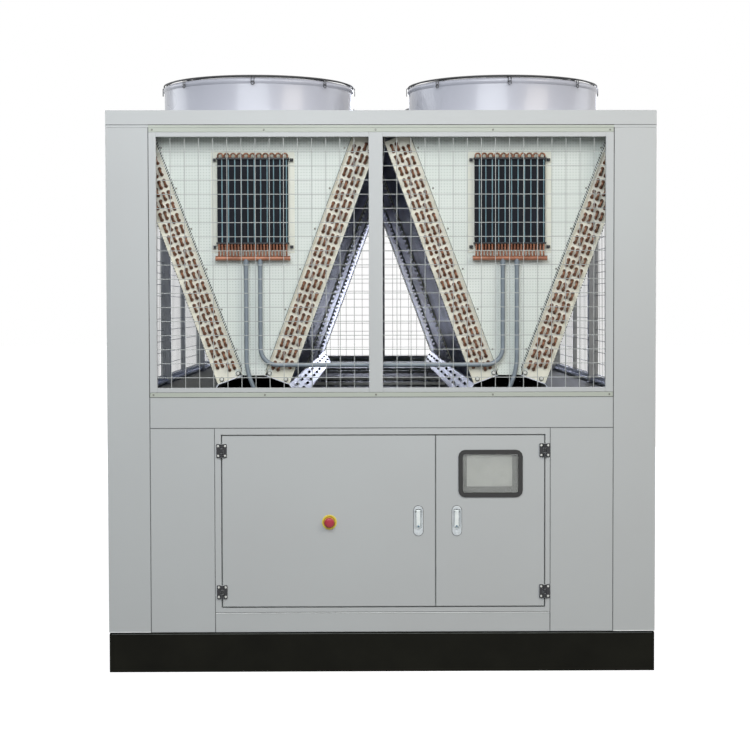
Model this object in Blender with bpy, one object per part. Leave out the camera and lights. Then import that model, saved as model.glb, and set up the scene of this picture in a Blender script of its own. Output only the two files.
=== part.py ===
"""Air-cooled process chiller: two V-shaped coil banks under twelve roof fans.

Metres, +Z up, front toward -Y, origin at the middle of the footprint on the floor.
"""

import math

import bmesh
import bpy
from mathutils import Matrix, Vector

# Overall sizes
BODY_WIDTH = 2.28
BAY_LENGTH = 1.85
BAY_COUNT = 3
END_MARGIN = 0.025
BODY_LENGTH = BAY_COUNT * BAY_LENGTH + 2 * END_MARGIN
BODY_TOP = 2.338
SEAT = 0.0003
EDGE_BEVEL = 0.002
FLAT_ANGLE = math.radians(0.5)

# Base frame
BASE_HEIGHT = 0.168
BASE_INSET = 0.010
BASE_RAIL = 0.090

# Enclosure
COLUMN_WIDTH = 0.176
COLUMN_DEPTH = 0.176
PANEL_THICKNESS = 0.025
LOWER_PANEL_TOP = 1.022
HEADER_TOP = 1.151
DECK_TOP = 1.130
DECK_THICKNESS = 0.004
DECK_RIB_WIDTH = 0.040
DECK_RIB_HEIGHT = 0.012
DECK_RIB_REACH = 0.330
DECK_RIB_PLACES = (1.65, 2.25, 3.27, 3.74)

# Control cabinet and its doors
CABINET_LEFT = -0.696
CABINET_RIGHT = 0.701
CABINET_BOTTOM = 0.252
CABINET_DEPTH = 0.380
CABINET_WALL = 0.003
DOOR_LEFT = -0.664
DOOR_SPLIT = 0.223
DOOR_RIGHT = 0.675
DOOR_BOTTOM = 0.277
DOOR_TOP = 0.989
DOOR_DEPTH = 0.022
DOOR_SHEET = 0.002
DOOR_GAP = 0.006
DOOR_LIP = 0.016

# External hinges
HINGE_HEIGHT = 0.056
HINGE_LEAF_REACH = 0.021
HINGE_LEAF_THICKNESS = 0.005
HINGE_INSET = 0.061
KNUCKLE_RADIUS = 0.006
PIN_RADIUS = 0.0028
PIN_CLEARANCE = 0.0006
HINGE_PROUD = 0.0066
KNUCKLE_LAP = 0.8

# Swing handles
HANDLE_WIDTH = 0.038
HANDLE_HEIGHT = 0.124
HANDLE_LEVEL = 0.634
HANDLE_PLACES = (0.1512, 0.3118)
HANDLE_RIM = 0.0015
HANDLE_END_FLAT = 0.0005
HANDLE_BODY_DEPTH = 0.019
HANDLE_WALL = 0.0035
POCKET_HEIGHT = 0.092
POCKET_DEPTH = 0.016
POCKET_TOP_INSET = 0.006
POCKET_RADIUS = 0.010
LEVER_WIDTH = 0.015
LEVER_THICKNESS = 0.008
LEVER_LENGTH = 0.070
LEVER_PIN_RADIUS = 0.0022

# Emergency stop
STOP_X = -0.2197
STOP_Z = 0.629
STOP_PLATE_RADIUS = 0.031
STOP_PLATE_THICKNESS = 0.002
STOP_COLLAR_RADIUS = 0.015
STOP_COLLAR_HEIGHT = 0.003
STOP_BARREL_RADIUS = 0.011
STOP_BARREL_LENGTH = 0.030
STOP_BORE_RADIUS = 0.008
STOP_STEM_CLEARANCE = 0.0006
STOP_HEAD_RADIUS = 0.0205
STOP_HEAD_HEIGHT = 0.013
STOP_CROWN_SHARE = 0.7
STOP_CROWN_DROP = 0.15
STOP_RIM_DROP = 0.55
STOP_BACK_SHARE = 0.95
STOP_STROKE = 0.004
STOP_GAP = 0.0055

# Window in the right door
WINDOW_LEFT = 0.318
WINDOW_RIGHT = 0.5865
WINDOW_BOTTOM = 0.7316
WINDOW_TOP = 0.930
WINDOW_RING = 0.0185
WINDOW_RADIUS = 0.028
WINDOW_PROUD = 0.004
GLASS_THICKNESS = 0.004

# Condenser coils
COIL_SIDE_GAP = 0.0778
COIL_MIDDLE_GAP = 0.0128
COIL_HEAD_DROP = 0.0526
COIL_FOOT_RISE = 0.0725
COIL_FOOT_OUT = 0.150
COIL_THICKNESS = 0.110
COIL_END_INSET = 0.090
TUBE_SHEET = 0.003
TUBE_SHEET_PROUD = 0.004
JOINT_WIDTH = 0.030
TOP_RAIL = 0.003

# Sheets under and between the coils
SUPPORT_SHEET = 0.003
SUPPORT_FOOT_OUT = 0.198
END_SHEET = 0.003

# Small tube coils
SMALL_WIDTH = 0.300
SMALL_BOTTOM_SHARE = 0.579
SMALL_TOP_SHARE = 0.9335
SMALL_DEPTH = 0.050
SMALL_PROUD = 0.034
SMALL_PLATE_WIDTH = 0.349
SMALL_PLATE_BELOW = 0.037
SMALL_PLATE_ABOVE = 0.0295
SMALL_PLATE = 0.002
BEND_COUNT = 11
BEND_RADIUS = 0.0105
BEND_TUBE = 0.0042
HEADER_TUBE = 0.0095
HEADER_DROP = 0.060
PIPE_RADIUS = 0.011
PIPE_PROUD = 0.024
PIPE_BEND = 0.070
SHORT_PIPE_LEAN = 0.045
SHORT_PIPE_LEAN_RISE = 0.130
PIPE_FOOT = 0.020
SHORT_PIPE_OFFSET = -0.029
LONG_PIPE_OFFSET = 0.030
LONG_PIPE_RISE = 0.153
LONG_PIPE_ENDS = (-0.041, -0.011)

# Mesh frames
GRILLE_THICKNESS = 0.025
GRILLE_RAIL = 0.039
FRONT_STILE_LEFT = 0.031
FRONT_STILE_RIGHT = 0.033
MULLION_LEFT = -0.053
MULLION_RIGHT = 0.005
WIRE = 0.004
WIRE_PITCH = 0.0585
FRONT_WIRE_STEP = 6
SIDE_WIRE_STEP = 8
THICK_POST = 0.050
THIN_POST = 0.020

# Roof frames, fan decks and fans
DECK_EDGE = 0.070
DECK_SHEET = 0.003
DECK_LEDGE = 0.025
FANS_PER_BAY = 2
FAN_SIDE_SHARE = 0.47
THROAT_SHARE = 0.43
COWL_THICKNESS = 0.014
LIP_PROUD = 0.006
COWL_HEIGHT = 0.1445
LIP_HEIGHT = 0.026
COWL_SEGMENTS = 24
GUARD_WIRE = 0.005
GUARD_RISE = 0.007
GUARD_LEG = 0.028
GUARD_RING_SHARE = 0.75
GUARD_RING_SEGMENTS = 8
GUARD_BARS = 4
HUB_RADIUS = 0.090
HUB_BOTTOM = 0.035
HUB_CAP = 0.001
BLADE_COUNT = 5
BLADE_TIP_GAP = 0.012
BLADE_CHORDS = (0.150, 0.210)
BLADE_ANGLES = (math.radians(38.0), math.radians(22.0))
BLADE_SWEEP = 0.9
BLADE_PITCH = 0.55
BLADE_CAMBER = 0.10
BLADE_THICKNESS = 0.005
BLADE_LEVEL = 0.070
BLADE_ROOT_SHARE = 0.8

FRONT = -BODY_LENGTH / 2
REAR = BODY_LENGTH / 2
HALF_WIDTH = BODY_WIDTH / 2
COLUMN_INNER = HALF_WIDTH - COLUMN_WIDTH
PANEL_BACK = FRONT + PANEL_THICKNESS
TRAY_BOTTOM = BODY_TOP - DECK_EDGE
COIL_SPREAD = HALF_WIDTH - COIL_SIDE_GAP - COIL_MIDDLE_GAP
V_HALF_PITCH = COIL_MIDDLE_GAP + COIL_SPREAD / 2
COIL_FOOT_LEVEL = DECK_TOP + COIL_FOOT_RISE
COIL_RISE = TRAY_BOTTOM - COIL_HEAD_DROP - COIL_FOOT_LEVEL
COIL_RUN = COIL_SPREAD / 2 - COIL_FOOT_OUT
COIL_HEIGHT = math.hypot(COIL_RUN, COIL_RISE)
COIL_SLOPE = math.atan2(COIL_RUN, COIL_RISE)
SMALL_BOTTOM = COIL_FOOT_LEVEL + SMALL_BOTTOM_SHARE * COIL_RISE
SMALL_TOP = COIL_FOOT_LEVEL + SMALL_TOP_SHARE * COIL_RISE
HEADER_LEVEL = SMALL_BOTTOM - HEADER_DROP
LONG_PIPE_LEVEL = DECK_TOP + LONG_PIPE_RISE
FAN_PITCH = BAY_LENGTH / FANS_PER_BAY
FAN_HALF_PITCH = FAN_SIDE_SHARE * HALF_WIDTH
THROAT_RADIUS = THROAT_SHARE * FAN_PITCH
COWL_RADIUS = THROAT_RADIUS + COWL_THICKNESS
LIP_RADIUS = COWL_RADIUS + LIP_PROUD
HINGE_AXIS_Y = FRONT - HINGE_PROUD
LEFT_AXIS_X = DOOR_LEFT - DOOR_GAP / 2
RIGHT_AXIS_X = DOOR_RIGHT + DOOR_GAP / 2
UPPER_HINGE_Z = DOOR_TOP - HINGE_INSET
LOWER_HINGE_Z = DOOR_BOTTOM + HINGE_INSET

PLACES = {
    "X": lambda a, b, c: (c, a, b),
    "Y": lambda a, b, c: (a, c, b),
    "Z": lambda a, b, c: (a, b, c),
}

MATERIALS = {
    "panel_paint": ((0.60, 0.62, 0.64), 0.0, 0.45),
    "base_paint": ((0.012, 0.012, 0.010), 0.0, 0.50),
    "galvanised": ((0.68, 0.70, 0.66), 0.8, 0.45),
    "fin_pack": ((0.05, 0.06, 0.07), 0.3, 0.60),
    "copper": ((0.45, 0.16, 0.08), 0.9, 0.35),
    "cowl_paint": ((0.52, 0.54, 0.60), 0.0, 0.35),
    "deck_steel": ((0.10, 0.10, 0.10), 0.4, 0.60),
    "rubber": ((0.015, 0.015, 0.015), 0.0, 0.70),
    "glass": ((0.75, 0.80, 0.80), 0.0, 0.05),
    "stop_red": ((0.60, 0.02, 0.03), 0.0, 0.35),
    "stop_yellow": ((0.80, 0.60, 0.02), 0.0, 0.45),
    "chrome": ((0.75, 0.76, 0.76), 1.0, 0.15),
}


def clear_scene():
    """Remove every object that the scene holds."""
    for item in list(bpy.data.objects):
        bpy.data.objects.remove(item, do_unlink=True)


def material(name):
    """Return the named material, made on first use."""
    found = bpy.data.materials.get(name)
    if found is not None:
        return found
    colour, metallic, roughness = MATERIALS[name]
    made = bpy.data.materials.new(name)
    made.use_nodes = True
    shader = made.node_tree.nodes["Principled BSDF"]
    shader.inputs["Base Color"].default_value = (*colour, 1.0)
    shader.inputs["Metallic"].default_value = metallic
    shader.inputs["Roughness"].default_value = roughness
    return made


def add_object(name, mesh_maker, material_name):
    """Make an object from a filled bmesh, with its faces pointing out."""
    bmesh.ops.recalc_face_normals(mesh_maker, faces=mesh_maker.faces)
    mesh = bpy.data.meshes.new(name)
    mesh_maker.to_mesh(mesh)
    mesh_maker.free()
    made = bpy.data.objects.new(name, mesh)
    made.data.materials.append(material(material_name))
    bpy.context.scene.collection.objects.link(made)
    return made


def box(x_range, y_range, z_range):
    """Return a bmesh box between three pairs of limits."""
    made = bmesh.new()
    bmesh.ops.create_cube(made, size=1.0)
    spans = [max(pair) - min(pair) for pair in (x_range, y_range, z_range)]
    middles = [(pair[0] + pair[1]) / 2 for pair in (x_range, y_range, z_range)]
    bmesh.ops.scale(made, vec=spans, verts=made.verts)
    bmesh.ops.translate(made, vec=middles, verts=made.verts)
    return made


def prism(outline, start, end, axis="Y"):
    """Extrude a closed outline along one axis from start to end."""
    made = bmesh.new()
    place = PLACES[axis]
    near = [made.verts.new(place(a, b, start)) for a, b in outline]
    face = made.faces.new(near)
    extruded = bmesh.ops.extrude_face_region(made, geom=[face])
    far = [item for item in extruded["geom"] if isinstance(item, bmesh.types.BMVert)]
    bmesh.ops.translate(made, vec=place(0.0, 0.0, end - start), verts=far)
    return made


def rounded_outline(x_range, z_range, radius, steps):
    """Return a rectangle's outline with its corners rounded."""
    points = []
    corners = (
        (x_range[1] - radius, z_range[1] - radius, 0.0),
        (x_range[0] + radius, z_range[1] - radius, 0.5 * math.pi),
        (x_range[0] + radius, z_range[0] + radius, math.pi),
        (x_range[1] - radius, z_range[0] + radius, 1.5 * math.pi),
    )
    for centre_x, centre_z, turn in corners:
        for step in range(steps + 1):
            angle = turn + 0.5 * math.pi * step / steps
            point = (centre_x + radius * math.cos(angle), centre_z + radius * math.sin(angle))
            points.append(point)
    return points


def circle_outline(centre, radius, segments, offset=0.0):
    """Return a regular outline of a circle, turned by a share of one segment."""
    turns = [2 * math.pi * (step + offset) / segments for step in range(segments)]
    return [(centre[0] + radius * math.cos(t), centre[1] + radius * math.sin(t)) for t in turns]


def folded_sheet(points, thickness):
    """Return the closed outline of a sheet whose upper face follows the points."""
    below = []
    for index, point in enumerate(points):
        here = Vector(point)
        before = Vector(points[max(index - 1, 0)])
        after = Vector(points[min(index + 1, len(points) - 1)])
        first = (here - before).normalized() if index > 0 else (after - here).normalized()
        second = (after - here).normalized() if index < len(points) - 1 else first
        normal = Vector((first.y, -first.x)) + Vector((second.y, -second.x))
        normal.normalize()
        stretch = thickness / max(normal.dot(Vector((first.y, -first.x))), 0.2)
        below.append(tuple(here + normal * stretch))
    return list(points) + below[::-1]


def grid_solid(first_cuts, second_cuts, filled, start, end, axis):
    """Extrude the filled cells of a grid of cuts into one solid along an axis."""
    made = bmesh.new()
    place = PLACES[axis]
    corners = {}

    def corner(i, j, level):
        key = (i, j, level)
        if key not in corners:
            depth = (start, end)[level]
            corners[key] = made.verts.new(place(first_cuts[i], second_cuts[j], depth))
        return corners[key]

    cells = set()
    for i in range(len(first_cuts) - 1):
        for j in range(len(second_cuts) - 1):
            a = (first_cuts[i] + first_cuts[i + 1]) / 2
            b = (second_cuts[j] + second_cuts[j + 1]) / 2
            if filled(a, b):
                cells.add((i, j))
    for i, j in cells:
        ring = ((i, j), (i + 1, j), (i + 1, j + 1), (i, j + 1))
        for level in (0, 1):
            made.faces.new([corner(a, b, level) for a, b in ring])
        sides = (((i, j - 1), 0, 1), ((i + 1, j), 1, 2), ((i, j + 1), 2, 3), ((i - 1, j), 3, 0))
        for neighbour, one, two in sides:
            if neighbour not in cells:
                p, q = ring[one], ring[two]
                made.faces.new([corner(*p, 0), corner(*q, 0), corner(*q, 1), corner(*p, 1)])
    bmesh.ops.recalc_face_normals(made, faces=made.faces)
    bmesh.ops.dissolve_limit(
        made, angle_limit=FLAT_ANGLE, use_dissolve_boundaries=False, verts=made.verts, edges=made.edges
    )
    return made


def join_flat_faces(mesh):
    """Join neighbouring faces that lie in one plane."""
    made = bmesh.new()
    made.from_mesh(mesh)
    bmesh.ops.dissolve_limit(
        made, angle_limit=FLAT_ANGLE, use_dissolve_boundaries=False, verts=made.verts, edges=made.edges
    )
    made.to_mesh(mesh)
    made.free()


def combine(body, tools, operation):
    """Apply an exact Boolean of each tool to the body, then remove the tools."""
    for tool in tools:
        change = body.modifiers.new("combine", "BOOLEAN")
        change.solver = "EXACT"
        change.operation = operation
        change.object = tool
        bpy.context.view_layer.update()
        graph = bpy.context.evaluated_depsgraph_get()
        mesh = bpy.data.meshes.new_from_object(body.evaluated_get(graph))
        body.modifiers.clear()
        body.data = mesh
        bpy.data.objects.remove(tool, do_unlink=True)
    join_flat_faces(body.data)
    return body


def fuse(body, parts):
    """Join more solids, given as bmeshes, to the body."""
    tools = [add_object("tool", part, body.data.materials[0].name) for part in parts]
    return combine(body, tools, "UNION")


def cut(body, parts):
    """Cut solids, given as bmeshes, out of the body."""
    tools = [add_object("tool", part, body.data.materials[0].name) for part in parts]
    return combine(body, tools, "DIFFERENCE")


def soften(body):
    """Give a sheet-metal body small bevels along its edges."""
    bevel = body.modifiers.new("edges", "BEVEL")
    bevel.width = EDGE_BEVEL
    bevel.segments = 1
    bevel.limit_method = "ANGLE"


def panel(name, x_range, y_range, z_range, material_name="panel_paint"):
    """Make a flat panel with softened edges."""
    made = add_object(name, box(x_range, y_range, z_range), material_name)
    soften(made)
    return made


def build_base():
    """Make the steel base: two long rails, two end beams and two cross beams."""
    outer_x = HALF_WIDTH - BASE_INSET
    outer_y = REAR - BASE_INSET
    inner_x = outer_x - BASE_RAIL
    inner_y = outer_y - BASE_RAIL
    beam = BAY_LENGTH / 2
    half = BASE_RAIL / 2
    x_cuts = [-outer_x, -inner_x, inner_x, outer_x]
    beam_cuts = [-beam - half, -beam + half, beam - half, beam + half]
    y_cuts = [-outer_y, -inner_y] + beam_cuts + [inner_y, outer_y]

    def filled(x, y):
        at_beam = abs(abs(y) - beam) < half
        return abs(x) > inner_x or abs(y) > inner_y or at_beam

    frame = grid_solid(x_cuts, y_cuts, filled, 0.0, BASE_HEIGHT, "Z")
    add_object("base_frame", frame, "base_paint")


def build_columns():
    """Make the four wide corner columns, each folded to an L."""
    bottom = BASE_HEIGHT + SEAT
    top = TRAY_BOTTOM - SEAT
    inner_x = HALF_WIDTH - PANEL_THICKNESS
    inner_y = REAR - PANEL_THICKNESS
    corner = (
        (HALF_WIDTH, REAR),
        (COLUMN_INNER, REAR),
        (COLUMN_INNER, inner_y),
        (inner_x, inner_y),
        (inner_x, REAR - COLUMN_DEPTH),
        (HALF_WIDTH, REAR - COLUMN_DEPTH),
    )
    for end_name, end in (("front", -1), ("rear", 1)):
        for side_name, side in (("left", -1), ("right", 1)):
            outline = [(side * x, end * y) for x, y in corner]
            made = add_object(
                f"corner_column_{end_name}_{side_name}", prism(outline, bottom, top, "Z"), "panel_paint"
            )
            soften(made)


def build_front_panels():
    """Make the flat panels round the control cabinet."""
    bottom = BASE_HEIGHT + SEAT
    depth = (FRONT, PANEL_BACK)
    inner = COLUMN_INNER - SEAT
    top = LOWER_PANEL_TOP - SEAT
    panel("lower_panel_front_left", (-inner, CABINET_LEFT - SEAT), depth, (bottom, top))
    panel("lower_panel_front_right", (CABINET_RIGHT + SEAT, inner), depth, (bottom, top))
    panel("plinth_panel", (CABINET_LEFT, CABINET_RIGHT), depth, (bottom, CABINET_BOTTOM - SEAT))
    panel("header_panel", (-inner, inner), depth, (LOWER_PANEL_TOP, HEADER_TOP - SEAT))


def build_rear_and_side_panels():
    """Make the plain lower panels of the rear and the long sides."""
    bottom = BASE_HEIGHT + SEAT
    top = DECK_TOP - DECK_THICKNESS - SEAT
    inner = COLUMN_INNER - SEAT
    panel("rear_panel", (-inner, inner), (REAR - PANEL_THICKNESS, REAR), (bottom, top))
    reach = REAR - COLUMN_DEPTH - SEAT
    for side_name, side in (("left", -1), ("right", 1)):
        x_range = sorted((side * HALF_WIDTH, side * (HALF_WIDTH - PANEL_THICKNESS)))
        sheet = box(x_range, (-reach, reach), (bottom, top))
        made = add_object(f"side_panels_{side_name}", sheet, "panel_paint")
        grooves = []
        for joint in (-BAY_LENGTH / 2, BAY_LENGTH / 2):
            outer = side * HALF_WIDTH
            groove_x = sorted((outer + side * EDGE_BEVEL, outer - side * 2 * EDGE_BEVEL))
            groove_y = (joint - EDGE_BEVEL, joint + EDGE_BEVEL)
            grooves.append(box(groove_x, groove_y, (bottom - EDGE_BEVEL, top + EDGE_BEVEL)))
        cut(made, grooves)


def build_middle_deck():
    """Make the deck over the lower enclosure, notched round the columns, with ribs."""
    outer_x = HALF_WIDTH - EDGE_BEVEL
    wall_x = HALF_WIDTH - PANEL_THICKNESS - EDGE_BEVEL
    column_x = COLUMN_INNER - SEAT
    column_y = REAR - COLUMN_DEPTH - SEAT
    wall_y = REAR - PANEL_THICKNESS - EDGE_BEVEL
    x_cuts = [-outer_x, -wall_x, -column_x, column_x, wall_x, outer_x]
    y_cuts = [-wall_y, -column_y, column_y, wall_y, REAR - EDGE_BEVEL]
    bottom = DECK_TOP - DECK_THICKNESS

    def filled(x, y):
        over_side_panels = abs(y) < column_y
        over_rear_panel = abs(x) < column_x
        between_walls = abs(x) < wall_x and y < wall_y
        return over_side_panels or over_rear_panel or between_walls

    sheet = grid_solid(x_cuts, y_cuts, filled, bottom, DECK_TOP, "Z")
    deck = add_object("middle_deck", sheet, "deck_steel")
    ribs = []
    for place in DECK_RIB_PLACES:
        y_range = (FRONT + place, FRONT + place + DECK_RIB_WIDTH)
        z_range = (bottom + DECK_THICKNESS / 2, DECK_TOP + DECK_RIB_HEIGHT)
        ribs.append(box((-DECK_RIB_REACH, DECK_RIB_REACH), y_range, z_range))
    fuse(deck, ribs)


def hinge_leaf(axis_x, direction, centre_z, on_door):
    """Return the solids of one hinge half: leaf, knuckles and, when fixed, the pin."""
    half = HINGE_HEIGHT / 2
    knuckle = HINGE_HEIGHT / 3
    gap = PIN_CLEARANCE
    spans = [(-half, -half + knuckle - gap), (half - knuckle + gap, half)]
    near = axis_x + direction * KNUCKLE_RADIUS * KNUCKLE_LAP
    reach = (near, axis_x + direction * HINGE_LEAF_REACH)
    leaf_y = (FRONT - HINGE_LEAF_THICKNESS, FRONT + DOOR_SHEET / 2)
    leaf = box(sorted(reach), leaf_y, (centre_z - half, centre_z + half))
    parts = [leaf]
    if on_door:
        spans = [(-half + knuckle, half - knuckle)]
    for low, high in spans:
        outline = circle_outline((axis_x, HINGE_AXIS_Y), KNUCKLE_RADIUS, 10)
        parts.append(prism(outline, centre_z + low, centre_z + high, "Z"))
    return parts


def hinge_pin(axis_x, centre_z, radius):
    """Return a pin along a door hinge."""
    half = HINGE_HEIGHT / 2
    outline = circle_outline((axis_x, HINGE_AXIS_Y), radius, 6)
    return prism(outline, centre_z - half, centre_z + half, "Z")


def leaf_slot(axis_x, direction, centre_z, low, high):
    """Return the room that a leaf leaves beside the other leaf's knuckle."""
    far = axis_x + direction * (KNUCKLE_RADIUS + PIN_CLEARANCE)
    reach = sorted((axis_x - direction * KNUCKLE_RADIUS, far))
    y_range = (FRONT - 3 * KNUCKLE_RADIUS, FRONT)
    return box(reach, y_range, (centre_z + low, centre_z + high))


def build_cabinet():
    """Make the control cabinet with its door recess and the fixed hinge halves."""
    z_range = (CABINET_BOTTOM, LOWER_PANEL_TOP - SEAT)
    back = FRONT + CABINET_DEPTH
    outside = box((CABINET_LEFT, CABINET_RIGHT), (FRONT, back), z_range)
    cabinet = add_object("control_cabinet", outside, "panel_paint")
    recess_x = (DOOR_LEFT - DOOR_GAP, DOOR_RIGHT + DOOR_GAP)
    recess_z = (DOOR_BOTTOM - DOOR_GAP, DOOR_TOP + DOOR_GAP)
    recess_back = FRONT + DOOR_DEPTH + DOOR_GAP
    lip_back = recess_back + CABINET_WALL
    access_x = (DOOR_LEFT + DOOR_LIP, DOOR_RIGHT - DOOR_LIP)
    access_z = (DOOR_BOTTOM + DOOR_LIP, DOOR_TOP - DOOR_LIP)
    tub_x = (CABINET_LEFT + CABINET_WALL, CABINET_RIGHT - CABINET_WALL)
    tub_z = (z_range[0] + CABINET_WALL, z_range[1] - CABINET_WALL)
    cut(
        cabinet,
        [
            box(recess_x, (FRONT - DOOR_GAP, recess_back), recess_z),
            box(access_x, (FRONT, lip_back + DOOR_GAP), access_z),
            box(tub_x, (lip_back, back - CABINET_WALL), tub_z),
        ],
    )
    reach = HINGE_HEIGHT / 6 + PIN_CLEARANCE
    for axis_x, direction in ((LEFT_AXIS_X, -1), (RIGHT_AXIS_X, 1)):
        for centre_z in (LOWER_HINGE_Z, UPPER_HINGE_Z):
            fuse(cabinet, hinge_leaf(axis_x, direction, centre_z, on_door=False))
            cut(cabinet, [leaf_slot(axis_x, direction, centre_z, -reach, reach)])
            fuse(cabinet, [hinge_pin(axis_x, centre_z, PIN_RADIUS)])


def handle_outline(centre_x, width, height):
    """Return the outline of a handle dish with round ends."""
    z_range = (HANDLE_LEVEL - height / 2, HANDLE_LEVEL + height / 2)
    x_range = (centre_x - width / 2, centre_x + width / 2)
    return rounded_outline(x_range, z_range, width / 2 - HANDLE_END_FLAT, 3)


def pocket_top():
    """Return the level of the upper end of a handle's pocket."""
    return HANDLE_LEVEL + HANDLE_HEIGHT / 2 - POCKET_TOP_INSET


def build_door(name, x_range, axis_x, direction, handle_x, cutters):
    """Make one sheet door with return edges, hinge halves and a handle dish."""
    z_range = (DOOR_BOTTOM, DOOR_TOP)
    back = FRONT + DOOR_DEPTH
    door = add_object(name, box(x_range, (FRONT, back), z_range), "panel_paint")
    inside_x = (x_range[0] + DOOR_SHEET, x_range[1] - DOOR_SHEET)
    inside_z = (z_range[0] + DOOR_SHEET, z_range[1] - DOOR_SHEET)
    cut(door, [box(inside_x, (FRONT + DOOR_SHEET, back + DOOR_GAP), inside_z)])
    body_width = HANDLE_WIDTH - 2 * HANDLE_WALL + 2 * DOOR_SHEET
    body_height = HANDLE_HEIGHT - 2 * HANDLE_WALL
    rim = handle_outline(handle_x, HANDLE_WIDTH, HANDLE_HEIGHT)
    dish = handle_outline(handle_x, body_width, body_height)
    fuse(
        door,
        [
            prism(rim, FRONT - HANDLE_RIM, FRONT + DOOR_SHEET / 2),
            prism(dish, FRONT + DOOR_SHEET / 3, FRONT + HANDLE_BODY_DEPTH),
        ],
    )
    pocket_width = HANDLE_WIDTH - 2 * HANDLE_WALL
    pocket_x = (handle_x - pocket_width / 2, handle_x + pocket_width / 2)
    pocket_z = (pocket_top() - POCKET_HEIGHT, pocket_top())
    pocket = rounded_outline(pocket_x, pocket_z, POCKET_RADIUS, 2)
    cut(door, [prism(pocket, FRONT - 2 * HANDLE_RIM, FRONT + POCKET_DEPTH)] + cutters)
    knuckle = HINGE_HEIGHT / 3
    half = HINGE_HEIGHT / 2
    for centre_z in (LOWER_HINGE_Z, UPPER_HINGE_Z):
        fuse(door, hinge_leaf(axis_x, direction, centre_z, on_door=True))
        low_slot = leaf_slot(axis_x, direction, centre_z, -half - PIN_CLEARANCE, -half + knuckle)
        high_slot = leaf_slot(axis_x, direction, centre_z, half - knuckle, half + PIN_CLEARANCE)
        cut(door, [low_slot, high_slot, hinge_pin(axis_x, centre_z, PIN_RADIUS + PIN_CLEARANCE)])
    return door


def window_outline(inset, radius):
    """Return the outline of the door window, set in by a margin."""
    x_range = (WINDOW_LEFT + inset, WINDOW_RIGHT - inset)
    z_range = (WINDOW_BOTTOM + inset, WINDOW_TOP - inset)
    return rounded_outline(x_range, z_range, radius, 3)


def build_doors():
    """Make both cabinet doors, the window and its gasket."""
    round_hole = circle_outline((STOP_X, STOP_Z), STOP_BARREL_RADIUS + SEAT, 12)
    stop_hole = prism(round_hole, FRONT - DOOR_GAP, FRONT + DOOR_GAP)
    left_x = (DOOR_LEFT, DOOR_SPLIT - DOOR_GAP / 2)
    right_x = (DOOR_SPLIT + DOOR_GAP / 2, DOOR_RIGHT)
    build_door("left_door", left_x, LEFT_AXIS_X, 1, HANDLE_PLACES[0], [stop_hole])
    hole = window_outline(WINDOW_RING / 2, WINDOW_RADIUS - WINDOW_RING / 2)
    window_hole = prism(hole, FRONT - DOOR_GAP, FRONT + DOOR_GAP)
    build_door("right_door", right_x, RIGHT_AXIS_X, -1, HANDLE_PLACES[1], [window_hole])
    ring = window_outline(0.0, WINDOW_RADIUS)
    ring_back = FRONT + DOOR_SHEET + WINDOW_PROUD
    gasket = add_object("window_gasket", prism(ring, FRONT - WINDOW_PROUD, ring_back), "rubber")
    slot_inset = WINDOW_RING / 2 + SEAT
    slot_outline = window_outline(slot_inset, WINDOW_RADIUS - slot_inset)
    clear_outline = window_outline(WINDOW_RING, WINDOW_RADIUS - WINDOW_RING)
    outer_outline = window_outline(-DOOR_GAP, WINDOW_RADIUS + DOOR_GAP)
    groove = prism(outer_outline, FRONT - SEAT, FRONT + DOOR_SHEET + SEAT)
    rim = add_object("rim", groove, "rubber")
    cut(rim, [prism(slot_outline, FRONT - DOOR_GAP, FRONT + DOOR_GAP)])
    combine(gasket, [rim], "DIFFERENCE")
    cut(gasket, [prism(clear_outline, FRONT - 2 * WINDOW_PROUD, ring_back + DOOR_GAP)])
    glass_back = ring_back + SEAT + GLASS_THICKNESS
    glass_x = (WINDOW_LEFT + SEAT, WINDOW_RIGHT - SEAT)
    glass_z = (WINDOW_BOTTOM + SEAT, WINDOW_TOP - SEAT)
    glass = rounded_outline(glass_x, glass_z, WINDOW_RADIUS, 3)
    add_object("window_glass", prism(glass, glass_back - GLASS_THICKNESS, glass_back), "glass")


def build_levers():
    """Make the two handle levers, each on a pin across the top of its pocket."""
    pocket_width = HANDLE_WIDTH - 2 * HANDLE_WALL
    radius = LEVER_THICKNESS / 2
    axis_y = FRONT + radius
    axis_z = pocket_top() - POCKET_RADIUS - 2 * LEVER_PIN_RADIUS
    for name, centre_x in zip(("left_handle_lever", "right_handle_lever"), HANDLE_PLACES):
        turns = [math.pi * step / 4 for step in range(5)]
        outline = [(radius * math.cos(t), radius * math.sin(t)) for t in turns]
        outline += [(-radius, -LEVER_LENGTH + 2 * radius), (0.0, -LEVER_LENGTH), (radius, -LEVER_LENGTH)]
        lever = prism(outline, centre_x - LEVER_WIDTH / 2, centre_x + LEVER_WIDTH / 2, "X")
        bmesh.ops.translate(lever, vec=(-centre_x, 0.0, 0.0), verts=lever.verts)
        made = add_object(name, lever, "chrome")
        half = pocket_width / 2 - SEAT
        fuse(made, [prism(circle_outline((0.0, 0.0), LEVER_PIN_RADIUS, 8), -half, half, "X")])
        made.location = (centre_x, axis_y, axis_z)


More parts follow.
